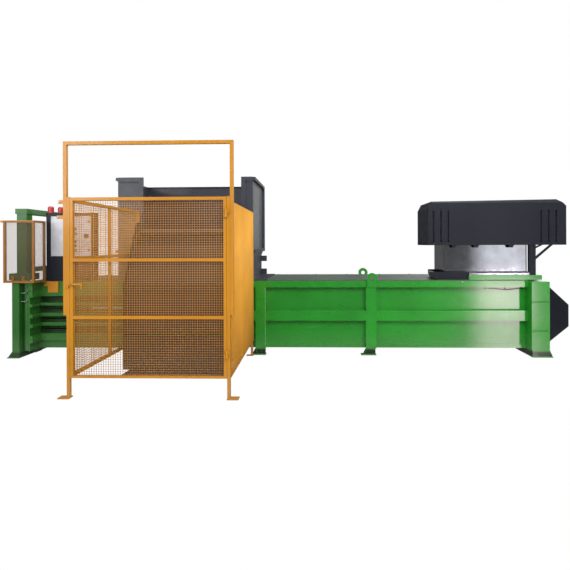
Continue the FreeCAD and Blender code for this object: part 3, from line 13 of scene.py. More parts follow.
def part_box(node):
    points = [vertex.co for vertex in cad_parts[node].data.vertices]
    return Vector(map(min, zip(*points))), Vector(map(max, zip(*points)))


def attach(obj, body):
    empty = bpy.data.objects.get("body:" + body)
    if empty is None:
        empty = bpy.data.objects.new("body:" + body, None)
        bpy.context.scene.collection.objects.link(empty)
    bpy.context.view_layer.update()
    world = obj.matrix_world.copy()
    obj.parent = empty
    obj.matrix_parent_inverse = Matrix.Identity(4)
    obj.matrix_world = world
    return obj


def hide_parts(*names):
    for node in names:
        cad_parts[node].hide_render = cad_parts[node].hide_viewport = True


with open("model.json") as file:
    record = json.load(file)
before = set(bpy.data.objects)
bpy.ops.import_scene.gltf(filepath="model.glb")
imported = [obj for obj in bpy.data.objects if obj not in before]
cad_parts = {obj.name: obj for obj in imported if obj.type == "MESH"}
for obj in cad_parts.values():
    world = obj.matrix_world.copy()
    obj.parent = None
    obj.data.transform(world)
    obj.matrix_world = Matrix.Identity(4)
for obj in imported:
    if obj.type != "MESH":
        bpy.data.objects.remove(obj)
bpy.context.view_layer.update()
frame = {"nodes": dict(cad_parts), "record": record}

NODES = frame["nodes"]
SX, SY = -3.9515, 0.2615          # where the machine frame's origin lies in the scene


def at(x, y, z):
    """A machine-frame place, in millimetres, as a scene place in metres."""
    return Vector((x / 1000 + SX, y / 1000 + SY, z / 1000))


def srgb(r, g, b):
    """A colour as the eye reads it, 0 to 255, in linear light."""
    out = []
    for c in (r, g, b):
        c = c / 255.0
        out.append(c / 12.92 if c <= 0.04045 else ((c + 0.055) / 1.055) ** 2.4)
    return tuple(out)


# ---- materials --------------------------------------------------------------------------------
class Shader:
    """A small helper round one principled material."""

    def __init__(self, name, roughness=0.4, metallic=0.0, coat=0.0, specular=0.5):
        self.mat = bpy.data.materials.new(name)
        self.mat.use_nodes = True
        self.tree = self.mat.node_tree
        self.bsdf = self.tree.nodes["Principled BSDF"]
        self.bsdf.inputs["Metallic"].default_value = metallic
        self.bsdf.inputs["Roughness"].default_value = roughness
        self.bsdf.inputs["Coat Weight"].default_value = coat
        self.bsdf.inputs["Coat Roughness"].default_value = 0.1
        self.bsdf.inputs["Specular IOR Level"].default_value = specular
        self.coord = self.tree.nodes.new("ShaderNodeTexCoord").outputs["Object"]

    def new(self, kind, **values):
        node = self.tree.nodes.new(kind)
        for key, value in values.items():
            if key in node.inputs:
                node.inputs[key].default_value = value
            else:
                setattr(node, key, value)
        return node

    def link(self, a, b):
        self.tree.links.new(a, b)

    def stretched(self, scale):
        node = self.new("ShaderNodeMapping")
        node.inputs["Scale"].default_value = scale
        self.link(self.coord, node.inputs["Vector"])
        return node.outputs["Vector"]

    def noise(self, scale, detail, rough, vector=None):
        node = self.new("ShaderNodeTexNoise", Scale=scale, Detail=detail, Roughness=rough)
        self.link(vector or self.coord, node.inputs["Vector"])
        return node.outputs["Fac"]

    def ramp(self, fac, stops):
        node = self.new("ShaderNodeValToRGB")
        while len(node.color_ramp.elements) < len(stops):
            node.color_ramp.elements.new(0.5)
        for element, (place, colour) in zip(node.color_ramp.elements, stops):
            element.position = place
            element.color = (*colour, 1.0)
        self.link(fac, node.inputs["Fac"])
        return node.outputs["Color"]

    def spread(self, fac, low, high, out_low, out_high):
        node = self.new("ShaderNodeMapRange")
        limits = {"From Min": low, "From Max": high, "To Min": out_low, "To Max": out_high}
        for name, value in limits.items():
            node.inputs[name].default_value = value
        self.link(fac, node.inputs["Value"])
        return node.outputs["Result"]

    def mix(self, fac, a, b):
        node = self.tree.nodes.new("ShaderNodeMix")
        node.data_type = "RGBA"
        for name, value in (("Factor", fac), ("A", a), ("B", b)):
            socket = node.inputs[name]
            if isinstance(value, (int, float)):
                socket.default_value = value
            elif isinstance(value, tuple):
                socket.default_value = (*value, 1.0)
            else:
                self.link(value, socket)
        return [o for o in node.outputs if o.type == "RGBA"][0]

    def product(self, a, b):
        node = self.new("ShaderNodeMath", operation="MULTIPLY")
        for value, socket in zip((a, b), node.inputs):
            if isinstance(value, (int, float)):
                socket.default_value = value
            else:
                self.link(value, socket)
        return node.outputs["Value"]

    def bump(self, height, strength, distance, under=None):
        node = self.new("ShaderNodeBump", Strength=strength, Distance=distance)
        self.link(height, node.inputs["Height"])
        if under is not None:
            self.link(under, node.inputs["Normal"])
        return node.outputs["Normal"]

    def axis(self, name):
        node = self.new("ShaderNodeSeparateXYZ")
        self.link(self.coord, node.inputs["Vector"])
        return node.outputs[name]

    def edges(self, radius):
        """1 on edges, 0 on faces: how far a rounded normal leaves the true one."""
        bevel = self.new("ShaderNodeBevel", Radius=radius)
        bevel.samples = 4
        true = self.new("ShaderNodeNewGeometry").outputs["True Normal"]
        dot = self.new("ShaderNodeVectorMath", operation="DOT_PRODUCT")
        self.link(bevel.outputs["Normal"], dot.inputs[0])
        self.link(true, dot.inputs[1])
        return self.spread(dot.outputs["Value"], 0.995, 0.86, 0.0, 1.0)

    def finish(self, colour, roughness=None, normal=None):
        self.link(colour, self.bsdf.inputs["Base Color"])
        if roughness is not None:
            self.link(roughness, self.bsdf.inputs["Roughness"])
        if normal is not None:
            self.link(normal, self.bsdf.inputs["Normal"])
        return self.mat


DUST = (0.36, 0.34, 0.31)
DUST_BOTTOM, DUST_TOP = 0.02, 0.35       # heights in metres between which the dust thins out
PEEL_STRENGTH, PEEL_DEPTH = 0.12, 0.0006  # orange peel of sprayed paint
WAVE_STRENGTH, WAVE_DEPTH = 0.35, 0.004   # slow waves of the sheet under it
FOOT_SHADE_AND_DIRT = (0.008, 0.012, 0.008)            # painted contact shade with floor dirt, on the feet
FOOT_SHADE_BOTTOM, FOOT_SHADE_TOP = (0.012, 0.018), (0.068, 0.092)
RECESS_SHADE_AND_DIRT = (0.016, 0.03, 0.013)              # painted shade, with some dirt, in the wall's recesses
RECESS_SHADE_DEPTH, RECESS_SHADE_LIP, RECESS_SHADE_AMOUNT = 0.04, 0.004, 0.82
# edge band: paler for wear, darker on the yellow as painted shade in the gaps between tubes
EDGE_WEAR_AND_SHADE_RADIUS, EDGE_WEAR_AND_SHADE_AMOUNT = 0.005, 0.8


def paint(name, base, rough=0.38, coat=0.25, dust_amount=0.25, shade=0.12, edge_wear_and_shade=None, specular=0.5,
          foot_shade_and_dirt=0.0, recess=None):
    """Sprayed machine paint: slow colour drift, orange peel, dust near the floor, edges paler for wear and, on
    the yellow, darker as painted gap shade; optional painted contact shade with dirt at the feet, and painted
    shade with dirt in recesses.
    """
    s = Shader(name, rough, 0.0, coat, specular)
    dark = tuple(c * (1 - shade) for c in base)
    light = tuple(min(1.0, c * (1 + shade)) for c in base)
    drift = s.noise(scale=1.7, detail=3.0, rough=0.5)
    colour = s.ramp(drift, ((0.3, dark), (0.7, light)))
    streak = s.noise(scale=5.0, detail=6.0, rough=0.6, vector=s.stretched((3.0, 3.0, 0.35)))
    colour = s.mix(s.spread(streak, 0.45, 0.8, 0.0, 0.16), colour, dark)
    low = s.spread(s.axis("Z"), DUST_BOTTOM, DUST_TOP, dust_amount, 0.0)
    speck = s.noise(scale=38.0, detail=5.0, rough=0.65)
    colour = s.mix(s.product(low, s.spread(speck, 0.35, 0.7, 0.2, 1.0)), colour, DUST)
    # a near-black band just above the floor: painted contact shade with floor dirt
    if foot_shade_and_dirt:
        band = s.product(s.spread(s.axis("Z"), *FOOT_SHADE_BOTTOM, 0.0, 1.0),
                         s.spread(s.axis("Z"), *FOOT_SHADE_TOP, foot_shade_and_dirt, 0.0))
        colour = s.mix(band, colour, FOOT_SHADE_AND_DIRT)
    # darker at and behind the wall plane, between the ribs: painted shade, with some dirt, in the recesses
    if recess is not None:
        deep = s.spread(s.axis("Y"), recess - RECESS_SHADE_DEPTH, recess - RECESS_SHADE_LIP, 0.0, RECESS_SHADE_AMOUNT)
        colour = s.mix(deep, colour, RECESS_SHADE_AND_DIRT)
    # edges toned: paler for wear, darker on the yellow as painted shade in the gaps between tubes
    if edge_wear_and_shade is not None:
        grain = s.spread(s.noise(scale=26.0, detail=4.0, rough=0.7), 0.45, 0.62, 0.0, 1.0)
        mask = s.product(s.edges(EDGE_WEAR_AND_SHADE_RADIUS), grain)
        colour = s.mix(s.product(mask, EDGE_WEAR_AND_SHADE_AMOUNT), colour, edge_wear_and_shade)
    patches = s.noise(scale=9.0, detail=4.0, rough=0.6)
    gloss = s.spread(patches, 0.3, 0.75, rough - 0.07, rough + 0.12)
    peel = s.noise(scale=420.0, detail=2.0, rough=0.5)
    waves = s.noise(scale=2.2, detail=2.0, rough=0.5)
    normal = s.bump(waves, WAVE_STRENGTH, WAVE_DEPTH)
    normal = s.bump(peel, PEEL_STRENGTH, PEEL_DEPTH, normal)
    return s.finish(colour, gloss, normal)


SPANGLE_SCALE = 70.0
BRUSHED_GRAIN, EVEN_GRAIN = (1.0, 1.0, 60.0), (14.0, 14.0, 14.0)
GRAIN_DEPTH = 0.0008


def sheet_metal(name, base, rough, metallic, spangle=0.0, brushed=False, relief=0.12, spread=0.2):
    """Zinc or bare steel: spangle or fine brushing, with handling marks."""
    s = Shader(name, rough, metallic)
    dark = tuple(c * 0.78 for c in base)
    light = tuple(min(1.0, c * 1.12) for c in base)
    cloud = s.noise(scale=4.0, detail=5.0, rough=0.6)
    colour = s.ramp(cloud, ((0.3, dark), (0.72, light)))
    if spangle:
        cells = s.new("ShaderNodeTexVoronoi", Scale=SPANGLE_SCALE)
        s.link(s.coord, cells.inputs["Vector"])
        colour = s.mix(s.spread(cells.outputs["Color"], 0.0, 1.0, 0.0, spangle), colour, dark)
    grain_scale = BRUSHED_GRAIN if brushed else EVEN_GRAIN
    grain = s.noise(scale=40.0, detail=4.0, rough=0.6, vector=s.stretched(grain_scale))
    normal = s.bump(grain, relief, GRAIN_DEPTH)
    handling = s.noise(scale=11.0, detail=6.0, rough=0.7)
    marks = s.spread(handling, 0.4, 0.8, rough - spread * 0.3, rough + spread)
    return s.finish(colour, marks, normal)


MOULD_STRENGTH, MOULD_DEPTH = 0.15, 0.0003  # fine texture of a moulded face


def plastic(name, base, rough, coat=0.0):
    """Moulded plastic: a faint mottle and a fine mould texture."""
    s = Shader(name, rough, 0.0, coat)
    dark = tuple(c * 0.85 for c in base)
    colour = s.ramp(s.noise(scale=30.0, detail=3.0, rough=0.5), ((0.3, dark), (0.7, base)))
    normal = s.bump(s.noise(scale=600.0, detail=2.0, rough=0.5), MOULD_STRENGTH, MOULD_DEPTH)
    patches = s.noise(scale=50.0, detail=3.0, rough=0.5)
    gloss = s.spread(patches, 0.3, 0.7, rough - 0.05, rough + 0.08)
    return s.finish(colour, gloss, normal)


MAT = {
    # the greens' dark band at the feet is painted contact shade with floor dirt
    "body_green": paint("green_paint", srgb(33, 144, 36), 0.3, 1.0, edge_wear_and_shade=srgb(120, 185, 112), specular=0.3,
                        foot_shade_and_dirt=0.92),
    "dark_green": paint("green_paint_shaded", srgb(44, 108, 38), 0.38, 0.2, edge_wear_and_shade=srgb(110, 160, 95), foot_shade_and_dirt=0.6),
    "inset_grey": paint("inset_sheet_paint", srgb(104, 107, 108), 0.42, 0.1, specular=0.3),
    # a pale green for the strip on the first post's edge: a painted highlight
    "glint_green": paint("green_paint_glint", srgb(92, 168, 88), 0.35, 0.3, edge_wear_and_shade=srgb(208, 232, 204)),
    # the chamber wall's green, with painted shade in its recesses
    "recess_shaded_green": paint("green_paint_recess_shaded", srgb(52, 116, 44), 0.42, 0.3, edge_wear_and_shade=srgb(120, 175, 105),
                          specular=0.3, recess=SY),
    "anthracite": paint("anthracite_paint", srgb(50, 53, 64), 0.42, 0.2, edge_wear_and_shade=srgb(120, 122, 132)),
    "black_paint": paint("black_paint", srgb(27, 31, 40), 0.42, 0.1, dust_amount=0.1, edge_wear_and_shade=srgb(84, 86, 94),
                         specular=0.22),
    # the yellow's edge colour is darker than its base: painted shade in the gaps between tubes
    "safety_yellow": paint("yellow_paint", srgb(191, 127, 15), 0.36, 0.25, edge_wear_and_shade=srgb(128, 78, 16), shade=0.08),
    "wire_yellow": paint("wire_paint", srgb(196, 140, 66), 0.45, 0.05, shade=0.1),
    "wire_grey": paint("wire_paint_dull", srgb(128, 98, 84), 0.5, 0.0, shade=0.1),
    # a brighter copy of the wire paint, for the right side panel: painted light
    "wire_yellow_lit": paint("wire_paint_lit", srgb(228, 164, 52), 0.45, 0.05, shade=0.1),
    "grey_plate": paint("grey_plate_paint", srgb(82, 92, 84), 0.42, 0.1, edge_wear_and_shade=srgb(120, 128, 120), specular=0.3),
    "lifter_brown": paint("lifter_paint", srgb(66, 48, 38), 0.5, 0.1, edge_wear_and_shade=srgb(128, 104, 84), shade=0.2),
    "galvanised": sheet_metal("galvanised_sheet", srgb(196, 200, 208), 0.06, 1.0, spangle=0.08, relief=0.006,
                              spread=0.03),
    "steel": sheet_metal("machined_steel", srgb(168, 168, 172), 0.32, 0.95, brushed=True),
    "chromed_rod": sheet_metal("chromed_rod", srgb(205, 205, 210), 0.14, 1.0),
    "silver_panel": sheet_metal("silver_panel", srgb(196, 198, 204), 0.38, 0.45, brushed=True),
    "red_plastic": plastic("red_lens", srgb(196, 60, 60), 0.22, 0.4),
    "green_button": plastic("green_button", srgb(40, 150, 70), 0.3),
    "red_button": plastic("red_button", srgb(190, 40, 35), 0.3),
    "black_plastic": plastic("black_plastic", srgb(38, 38, 40), 0.45),
}
SLOT_OF = {s["node"]: s["material_slot"] for s in frame["record"]["subparts"]}
SHOWN_AS = {                      # nodes that the photograph shows in another finish than their slot's
    # the feed apron's dark brown is painted shade under the hopper's front
    "bin_cradle": "lifter_brown", "lifter_stand": "lifter_brown", "feed_apron": "lifter_brown",
    "lifter_shaft": "lifter_brown", "gate_latch": "safety_yellow", "main_switch": "black_plastic",
    # the chamber's front wall takes the green with painted recess shade
    "chamber_wall_front": "recess_shaded_green",
}
for node, obj in NODES.items():
    obj.data.materials.clear()
    obj.data.materials.append(MAT[SHOWN_AS.get(node, SLOT_OF[node])])


# ---- mesh building --------------------------------------------------------------------------------
def piece(name, bm, material, body="frame", smooth=False, *, slot):
    """Turns a bmesh into a scene object that rides on a body and takes the finish it is given."""
    mesh = bpy.data.meshes.new(name)
    bm.to_mesh(mesh)
    bm.free()
    obj = bpy.data.objects.new(name, mesh)
    bpy.context.scene.collection.objects.link(obj)
    mesh.materials.append(MAT[material])
    if smooth:
        for poly in mesh.polygons:
            poly.use_smooth = True
    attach(obj, body)
    return obj


def prism(bm, a, b, radius, sides=6):
    """A bar of round or n-sided section from a to b."""
    a, b = Vector(a), Vector(b)
    along = (b - a).normalized()
    side = along.orthogonal().normalized()
    other = along.cross(side)
    rings = []
    for end in (a, b):
        ring = []
        for i in range(sides):
            t = 2 * math.pi * i / sides
            ring.append(bm.verts.new(end + side * (radius * math.cos(t)) + other * (radius * math.sin(t))))
        rings.append(ring)
    for i in range(sides):
        j = (i + 1) % sides
        bm.faces.new((rings[0][i], rings[0][j], rings[1][j], rings[1][i]))
    bm.faces.new(list(reversed(rings[0])))
    bm.faces.new(rings[1])


WIRE_LAP = 0.9                    # how far each layer of wires lies from the middle, in wire radii


def wires(name, origin, u, v, width, height, pitch, radius, body, material, replaces=None):
    """Welded wire mesh: uprights in front of cross wires."""
    bm = bmesh.new()
    origin, u, v = Vector(origin), Vector(u), Vector(v)
    offset = u.cross(v).normalized() * radius * WIRE_LAP
    columns = int(round(width / pitch))
    rows = int(round(height / pitch))
    for i in range(columns + 1):
        p = origin + u * (width * i / columns) + offset
        prism(bm, p, p + v * height, radius)
    for j in range(rows + 1):
        p = origin + v * (height * j / rows) - offset
        prism(bm, p, p + u * width, radius)
    obj = piece(name, bm, material, body, smooth=True, slot="safety_yellow")
    if replaces:
        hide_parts(replaces)


def hull(node):
    """A node's lowest and highest corner at rest."""
    lo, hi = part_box(node)
    return Vector(lo), Vector(hi)


WIRE_PITCH, WIRE_R = 0.025, 0.0022       # gate and side panels
GUARD_PITCH, GUARD_R = 0.0125, 0.0013    # guard at the outlet
GUARD_SHEET = 0.004                      # thickness of the guard's mesh in the CAD
ALONG_X, ALONG_Y, ALONG_Z = (1, 0, 0), (0, 1, 0), (0, 0, 1)


def wire_meshes():
    """Single wires in place of the CAD's ridged mesh plates."""
    lo, hi = hull("gate_mesh")
    wires("gate_wire", (lo.x, (lo.y + hi.y) / 2, lo.z), ALONG_X, ALONG_Z, hi.x - lo.x, hi.z - lo.z,
          WIRE_PITCH, WIRE_R, "gate", "wire_yellow", replaces="gate_mesh")
    # the right panel's wires take the brighter copy of the wire paint: painted light
    for side, material in (("left", "wire_yellow"), ("right", "wire_yellow_lit")):
        lo, hi = hull("side_mesh_" + side)
        wires("side_wire_" + side, ((lo.x + hi.x) / 2, lo.y, lo.z), ALONG_Y, ALONG_Z, hi.y - lo.y, hi.z - lo.z,
              WIRE_PITCH, WIRE_R, "frame", material, replaces="side_mesh_" + side)
    lo, hi = hull("guard_mesh")
    half, corner = GUARD_SHEET / 2, 3 * GUARD_SHEET
    wires("guard_wire_front", (lo.x, lo.y + half, lo.z), ALONG_X, ALONG_Z, hi.x - GUARD_SHEET - lo.x,
          hi.z - lo.z, GUARD_PITCH, GUARD_R, "frame", "wire_grey", replaces="guard_mesh")
    wires("guard_wire_side", (hi.x - half, lo.y + corner, lo.z), ALONG_Y, ALONG_Z, hi.y - lo.y - corner,
          hi.z - lo.z, GUARD_PITCH, GUARD_R, "frame", "wire_grey")


wire_meshes()


# ---- small forms: blocks, bolts, tubes, weld beads -------------------------------------------------
def block(bm, x0, x1, y0, y1, z0, z1, edge=0.0):
    """A machine-frame block with chamfered edges."""
    made = bmesh.ops.create_cube(bm, size=1.0)["verts"]
    low, high = at(x0, y0, z0), at(x1, y1, z1)
    for v in made:
        v.co = Vector([(low[i] + high[i]) / 2 + v.co[i] * (high[i] - low[i]) for i in range(3)])
    if edge:
        edges = list({e for v in made for e in v.link_edges})
        bmesh.ops.bevel(bm, geom=edges, offset=edge / 1000, segments=1, affect="EDGES")


WASHER_M, CROWN_M = 0.0018, 0.001        # thickness of a bolt's washer and of its head's crown


def bolt(bm, place, out, size=9.0, height=7.0):
    """Hexagon head on a round washer; out is the way the head looks, size half its width over corners."""
    place, out = at(*place), Vector(out)
    seat, top = place + out * WASHER_M, place + out * (height / 1000)
    prism(bm, place, seat, size * 1.35 / 1000, 18)
    prism(bm, seat, top, size / 1000, 6)
    prism(bm, top, place + out * (height / 1000 + CROWN_M), size * 0.8 / 1000, 12)


def tube(bm, points, radius, sides=8, swell=None):
    """A round bar or bead through machine-frame points; swell(i) scales the radius at point i."""
    path = [at(*p) for p in points]
    rings = []
    side = None
    for i, p in enumerate(path):
        along = (path[min(i + 1, len(path) - 1)] - path[max(i - 1, 0)]).normalized()
        side = along.orthogonal() if side is None else side - along * side.dot(along)
        side = side.normalized()
        other = along.cross(side)
        r = radius / 1000 * (swell(i) if swell else 1.0)
        rings.append([bm.verts.new(p + side * (r * math.cos(t)) + other * (r * math.sin(t)))
                      for t in (2 * math.pi * k / sides for k in range(sides))])
    for a, b in zip(rings[:-1], rings[1:]):
        for k in range(sides):
            m = (k + 1) % sides
            bm.faces.new((a[k], a[m], b[m], b[k]))
    bm.faces.new(list(reversed(rings[0])))
    bm.faces.new(rings[-1])


def bead(bm, start, end, radius=4.0, step=7.0):
    """Weld bead: a low rope of overlapping scallops between two points."""
    a, b = Vector(start), Vector(end)
    count = max(3, int((b - a).length / step) * 2)
    points = [tuple(a.lerp(b, i / count)) for i in range(count + 1)]
    tube(bm, points, radius, 6, lambda i: 1.0 if i % 2 else 0.78)


def curve_through(points, per_span=6):
    """Smooth route through chosen points (Catmull-Rom)."""
    out = []
    p = [Vector(q) for q in points]
    p = [p[0] * 2 - p[1]] + p + [p[-1] * 2 - p[-2]]
    for i in range(1, len(p) - 2):
        for k in range(per_span):
            t = k / per_span
            out.append(tuple(0.5 * ((2 * p[i]) + (p[i + 1] - p[i - 1]) * t
                                    + (2 * p[i - 1] - 5 * p[i] + 4 * p[i + 1] - p[i + 2]) * t * t
                                    + (3 * p[i] - p[i - 1] - 3 * p[i + 1] + p[i + 2]) * t * t * t)))
    out.append(tuple(p[-2]))
    return out


def ring(bm, place, out, outer, inner, height, sides=24):
    """A flat collar round a machine-frame point."""
    place, out = at(*place), Vector(out)
    side = out.orthogonal().normalized()
    other = out.cross(side)
    loops = []
    for r, h in ((outer, 0.0), (outer, height), (inner, height), (inner, 0.0)):
        loop = []
        for k in range(sides):
            t = 2 * math.pi * k / sides
            away = side * math.cos(t) + other * math.sin(t)
            loop.append(bm.verts.new(place + out * (h / 1000) + away * (r / 1000)))
        loops.append(loop)
    for n in range(4):
        a, b = loops[n], loops[(n + 1) % 4]
        for k in range(sides):
            m = (k + 1) % sides
            bm.faces.new((a[k], a[m], b[m], b[k]))


# ---- details of the channel --------------------------------------------------------------------------
FRONT = (0.0, -1.0, 0.0)          # ways that bolt heads and collars look
UP = (0.0, 0.0, 1.0)
WIDTH = 1120.0                    # of the channel, outside of one wall to outside of the other
RAIL = 90.0                       # how far the flange reaches out from the wall
FLANGE_TOP, COVER_TOP = 1054, 1064.0  # top of the flanges and of the roof covers
STUD_LEVEL, STUD_REACH, STUD_RADIUS_M = 941, 7, 0.009
STUDS_X = (3835, 4383, 4749, 5600, 6100, 6649, 6924, 7177)
COVER_BOLTS_X, COVER_BOLT_OUT = (3600, 4240, 4760, 5300, 5800), 20
RAIL_BOLTS_X, RAIL_BOLT_LEVEL = (4240, 6303), 1040


def channel_bolts():
    """Round heads under the flange, cover-plate bolts on top of it."""
    bm = bmesh.new()
    for x in STUDS_X:
        prism(bm, at(x, 0, STUD_LEVEL), at(x, -STUD_REACH, STUD_LEVEL), STUD_RADIUS_M, 10)
        prism(bm, at(x, WIDTH, STUD_LEVEL), at(x, WIDTH + STUD_REACH, STUD_LEVEL), STUD_RADIUS_M, 10)
    piece("flange_studs", bm, "black_plastic", slot="black_plastic")
    bm = bmesh.new()
    for x in COVER_BOLTS_X:
        bolt(bm, (x, -COVER_BOLT_OUT, COVER_TOP), UP, 10.0)
        bolt(bm, (x, WIDTH + COVER_BOLT_OUT, COVER_TOP), UP, 10.0)
    for x in RAIL_BOLTS_X:
        bolt(bm, (x, -RAIL, RAIL_BOLT_LEVEL), FRONT, 8.0, 5.0)
    piece("cover_bolts", bm, "steel", slot="steel")


THRUST_PLATES = (369, 769)        # levels of the thrust frame's two plates
THRUST_LEFT, THRUST_RIGHT, THRUST_FRONT = 7217, 7458, -199
TOE = -2                          # y of a bead that runs on the wall
POSTS_X, POST_WIDTH = (3376, 4946), 144
POST_SEAMS = ((110, 480), (640, 960))
GLINT_RIGHT, GLINT_WIDTH = 3520.6, 9.6  # painted highlight strip along the first post's right edge
LUG_X, LUG_HALF, LUG_Y, LUG_FACE = 5032, 66, -92, -112
LUG_SEAMS_X, LUG_SEAM = (4960, 5092), (968, 1046)
OUTLET_RIBS = ((199, 300), (414, 461), (550, 599), (704, 743))  # underside and top of each
RIB_START, RIB_END, RIB_FACE, FRAME_FACE = (226, 262), 1476, -92, -292


def channel_welds():
    """Beads where posts, rails and rib ends meet the wall, the seams of the thrust frame, a painted highlight
    strip on a post edge.
    """
    bm = bmesh.new()
    for z in THRUST_PLATES:
        for level in (z - 9, z + 9):
            bead(bm, (THRUST_LEFT, THRUST_FRONT, level), (THRUST_RIGHT, THRUST_FRONT, level), 6.0)
            bead(bm, (THRUST_RIGHT + 1, THRUST_FRONT, level), (THRUST_RIGHT + 1, TOE, level), 6.0)
    for left in POSTS_X:
        for x in (left - 1, left + POST_WIDTH + 1):
            for low, high in POST_SEAMS:
                bead(bm, (x, TOE, low), (x, TOE, high))
    for x in LUG_SEAMS_X:
        bead(bm, (x, LUG_FACE, LUG_SEAM[0]), (x, LUG_FACE, LUG_SEAM[1]), 3.5)
    bead(bm, (LUG_X - LUG_HALF, LUG_Y, FLANGE_TOP), (LUG_X + LUG_HALF, LUG_Y, FLANGE_TOP), 3.5)
    for low, high in OUTLET_RIBS:
        bead(bm, (RIB_START[0], RIB_FACE, low), (RIB_START[1], RIB_FACE, low), 3.0)
        bead(bm, (RIB_START[0], FRAME_FACE, high), (RIB_START[1], FRAME_FACE, high), 3.0)
        bead(bm, (RIB_END, RIB_FACE + 4, low), (RIB_END, TOE - 2, low), 3.0)
    piece("channel_welds", bm, "body_green", slot="body_green")
    bm = bmesh.new()
    # a pale strip on the first post's right edge: a painted highlight of its chamfer, not a part
    block(bm, GLINT_RIGHT - GLINT_WIDTH, GLINT_RIGHT, -95.6, -89, 108, 960)
    piece("post_edge_glint", bm, "glint_green", slot="body_green")


CABLE_ROUTE = ((6700, -8, 938), (6771, -12, 939), (6856, -16, 928), (6926, -18, 920), (7010, -16, 925),
               (7108, -12, 938), (7190, -8, 939))
HOSE_ROUTE = ((352, -104, 1040), (335, -190, 1010), (290, -262, 960), (232, -292, 930), (196, -290, 946))
CABLE_RADIUS, HOSE_RADIUS = 3.5, 6.0


def flange_cable():
    """Thin cable that sags under the flange near the right end."""
    bm = bmesh.new()
    tube(bm, curve_through(CABLE_ROUTE), CABLE_RADIUS)
    piece("flange_cable", bm, "black_paint", slot="black_plastic")


def outlet_hose():
    """Short black hose from the guard's plate down to the door cylinder."""
    bm = bmesh.new()
    tube(bm, curve_through(HOSE_ROUTE), HOSE_RADIUS, 10)
    piece("outlet_hose", bm, "black_plastic", slot="black_plastic")


# ---- details of the cage and the cabinet -------------------------------------------------------------
CAGE_POSTS = ((1674, 1707), (3337, 3370))           # left and right side of each front post
POST_FRONT, POST_BACK, POST_TOP = -1953, -1921, 2072
GOAL_CLAMPS = ((1585, 2008, 2046), (1570, 1852, 1888))  # left end, underside, top
CLAMP_BOLTS = ((1600, 2027), (1586, 1870))          # x and z
LATCH_BOLT = (1725.5, -1970, 1172)
POST_SEAMS_X, POST_SEAM_LEVELS, POST_SEAM_LENGTH = (1676, 3368), (880, 1200, 1700, 2040), 40
FOOT_SEAM_LEVEL = 11


def cage_details():
    """Clamps that hold the goal frame's left leg, top caps of the posts, bolts and weld beads."""
    bm = bmesh.new()
    for x, low, high in GOAL_CLAMPS:
        block(bm, x, CAGE_POSTS[0][0], POST_FRONT, POST_BACK, low, high, 2.0)
    for left, right in CAGE_POSTS:
        block(bm, left - 1, right + 1, POST_FRONT - 5, POST_BACK - 2, POST_TOP, POST_TOP + 5, 1.0)
    piece("cage_clamps", bm, "safety_yellow", slot="safety_yellow")
    bm = bmesh.new()
    for x, z in CLAMP_BOLTS:
        bolt(bm, (x, POST_FRONT, z), FRONT, 8.0)
    bolt(bm, LATCH_BOLT, FRONT, 7.0, 6.0)
    piece("cage_bolts", bm, "steel", slot="steel")
    bm = bmesh.new()
    for left, _ in CAGE_POSTS:
        for y in (POST_FRONT - 6, POST_BACK - 1):
            bead(bm, (left + 2, y, FOOT_SEAM_LEVEL), (left + 31, y, FOOT_SEAM_LEVEL), 3.0, 5.0)
    for x in POST_SEAMS_X:
        for z in POST_SEAM_LEVELS:
            bead(bm, (x, POST_FRONT, z), (x, POST_FRONT, z + POST_SEAM_LENGTH), 2.5, 5.0)
    piece("cage_welds", bm, "safety_yellow", slot="safety_yellow")


PANEL_FACE = -95                                    # y of the operator panel's face
BUTTONS_X, BUTTON_LEVELS = 767, (1808, 1743, 1627, 1562, 1505)
LOCKS_X, LOCK_LEVELS = 972, (1908, 1504)
SCREWS_X, SCREW_LEVELS = (428, 988), (1429, 1978)
SWITCH = (935, PANEL_FACE, 1706)
BEZEL = {"outer": 22.0, "inner": 17.4, "height": 3.0}
BACKING = {"outer": 46.0, "inner": 27.6, "height": 1.6, "sides": 4}
LOCK_RADIUS_M, LOCK_REACH = 0.012, 7
SEAL_LEFT, SEAL_RIGHT, SEAL_LOW, SEAL_HIGH, SEAL_WIDTH = 350, 1005, 1068, 2038, 4
SEAL_FRONT, SEAL_BACK = -70.6, -68.4


def cabinet_details():
    """Bezels round the buttons, two quarter-turn locks, backing of the main switch, screws, door seal."""
    bm = bmesh.new()
    for z in BUTTON_LEVELS:
        ring(bm, (BUTTONS_X, PANEL_FACE, z), FRONT, **BEZEL)
    for z in LOCK_LEVELS:
        face, end = at(LOCKS_X, PANEL_FACE, z), at(LOCKS_X, PANEL_FACE - LOCK_REACH, z)
        prism(bm, face, end, LOCK_RADIUS_M, 20)
    piece("button_bezels", bm, "black_plastic", "cabinet_leaf", slot="black_plastic")
    bm = bmesh.new()
    ring(bm, SWITCH, FRONT, **BACKING)
    piece("switch_backing", bm, "safety_yellow", "cabinet_leaf", slot="safety_yellow")
    bm = bmesh.new()
    for x in SCREWS_X:
        for z in SCREW_LEVELS:
            bolt(bm, (x, PANEL_FACE, z), FRONT, 4.5, 3.0)
    piece("panel_screws", bm, "steel", "cabinet_leaf", slot="steel")
    bm = bmesh.new()
    low, high = SEAL_LOW + SEAL_WIDTH, SEAL_HIGH - SEAL_WIDTH
    for x0, x1, z0, z1 in ((SEAL_LEFT, SEAL_RIGHT, SEAL_LOW, low), (SEAL_LEFT, SEAL_RIGHT, high, SEAL_HIGH),
                           (SEAL_LEFT, SEAL_LEFT + SEAL_WIDTH, low, high),
                           (SEAL_RIGHT - SEAL_WIDTH, SEAL_RIGHT, low, high)):
        block(bm, x0, x1, SEAL_FRONT, SEAL_BACK, z0, z1)
    piece("door_seal", bm, "black_plastic", slot="black_plastic")


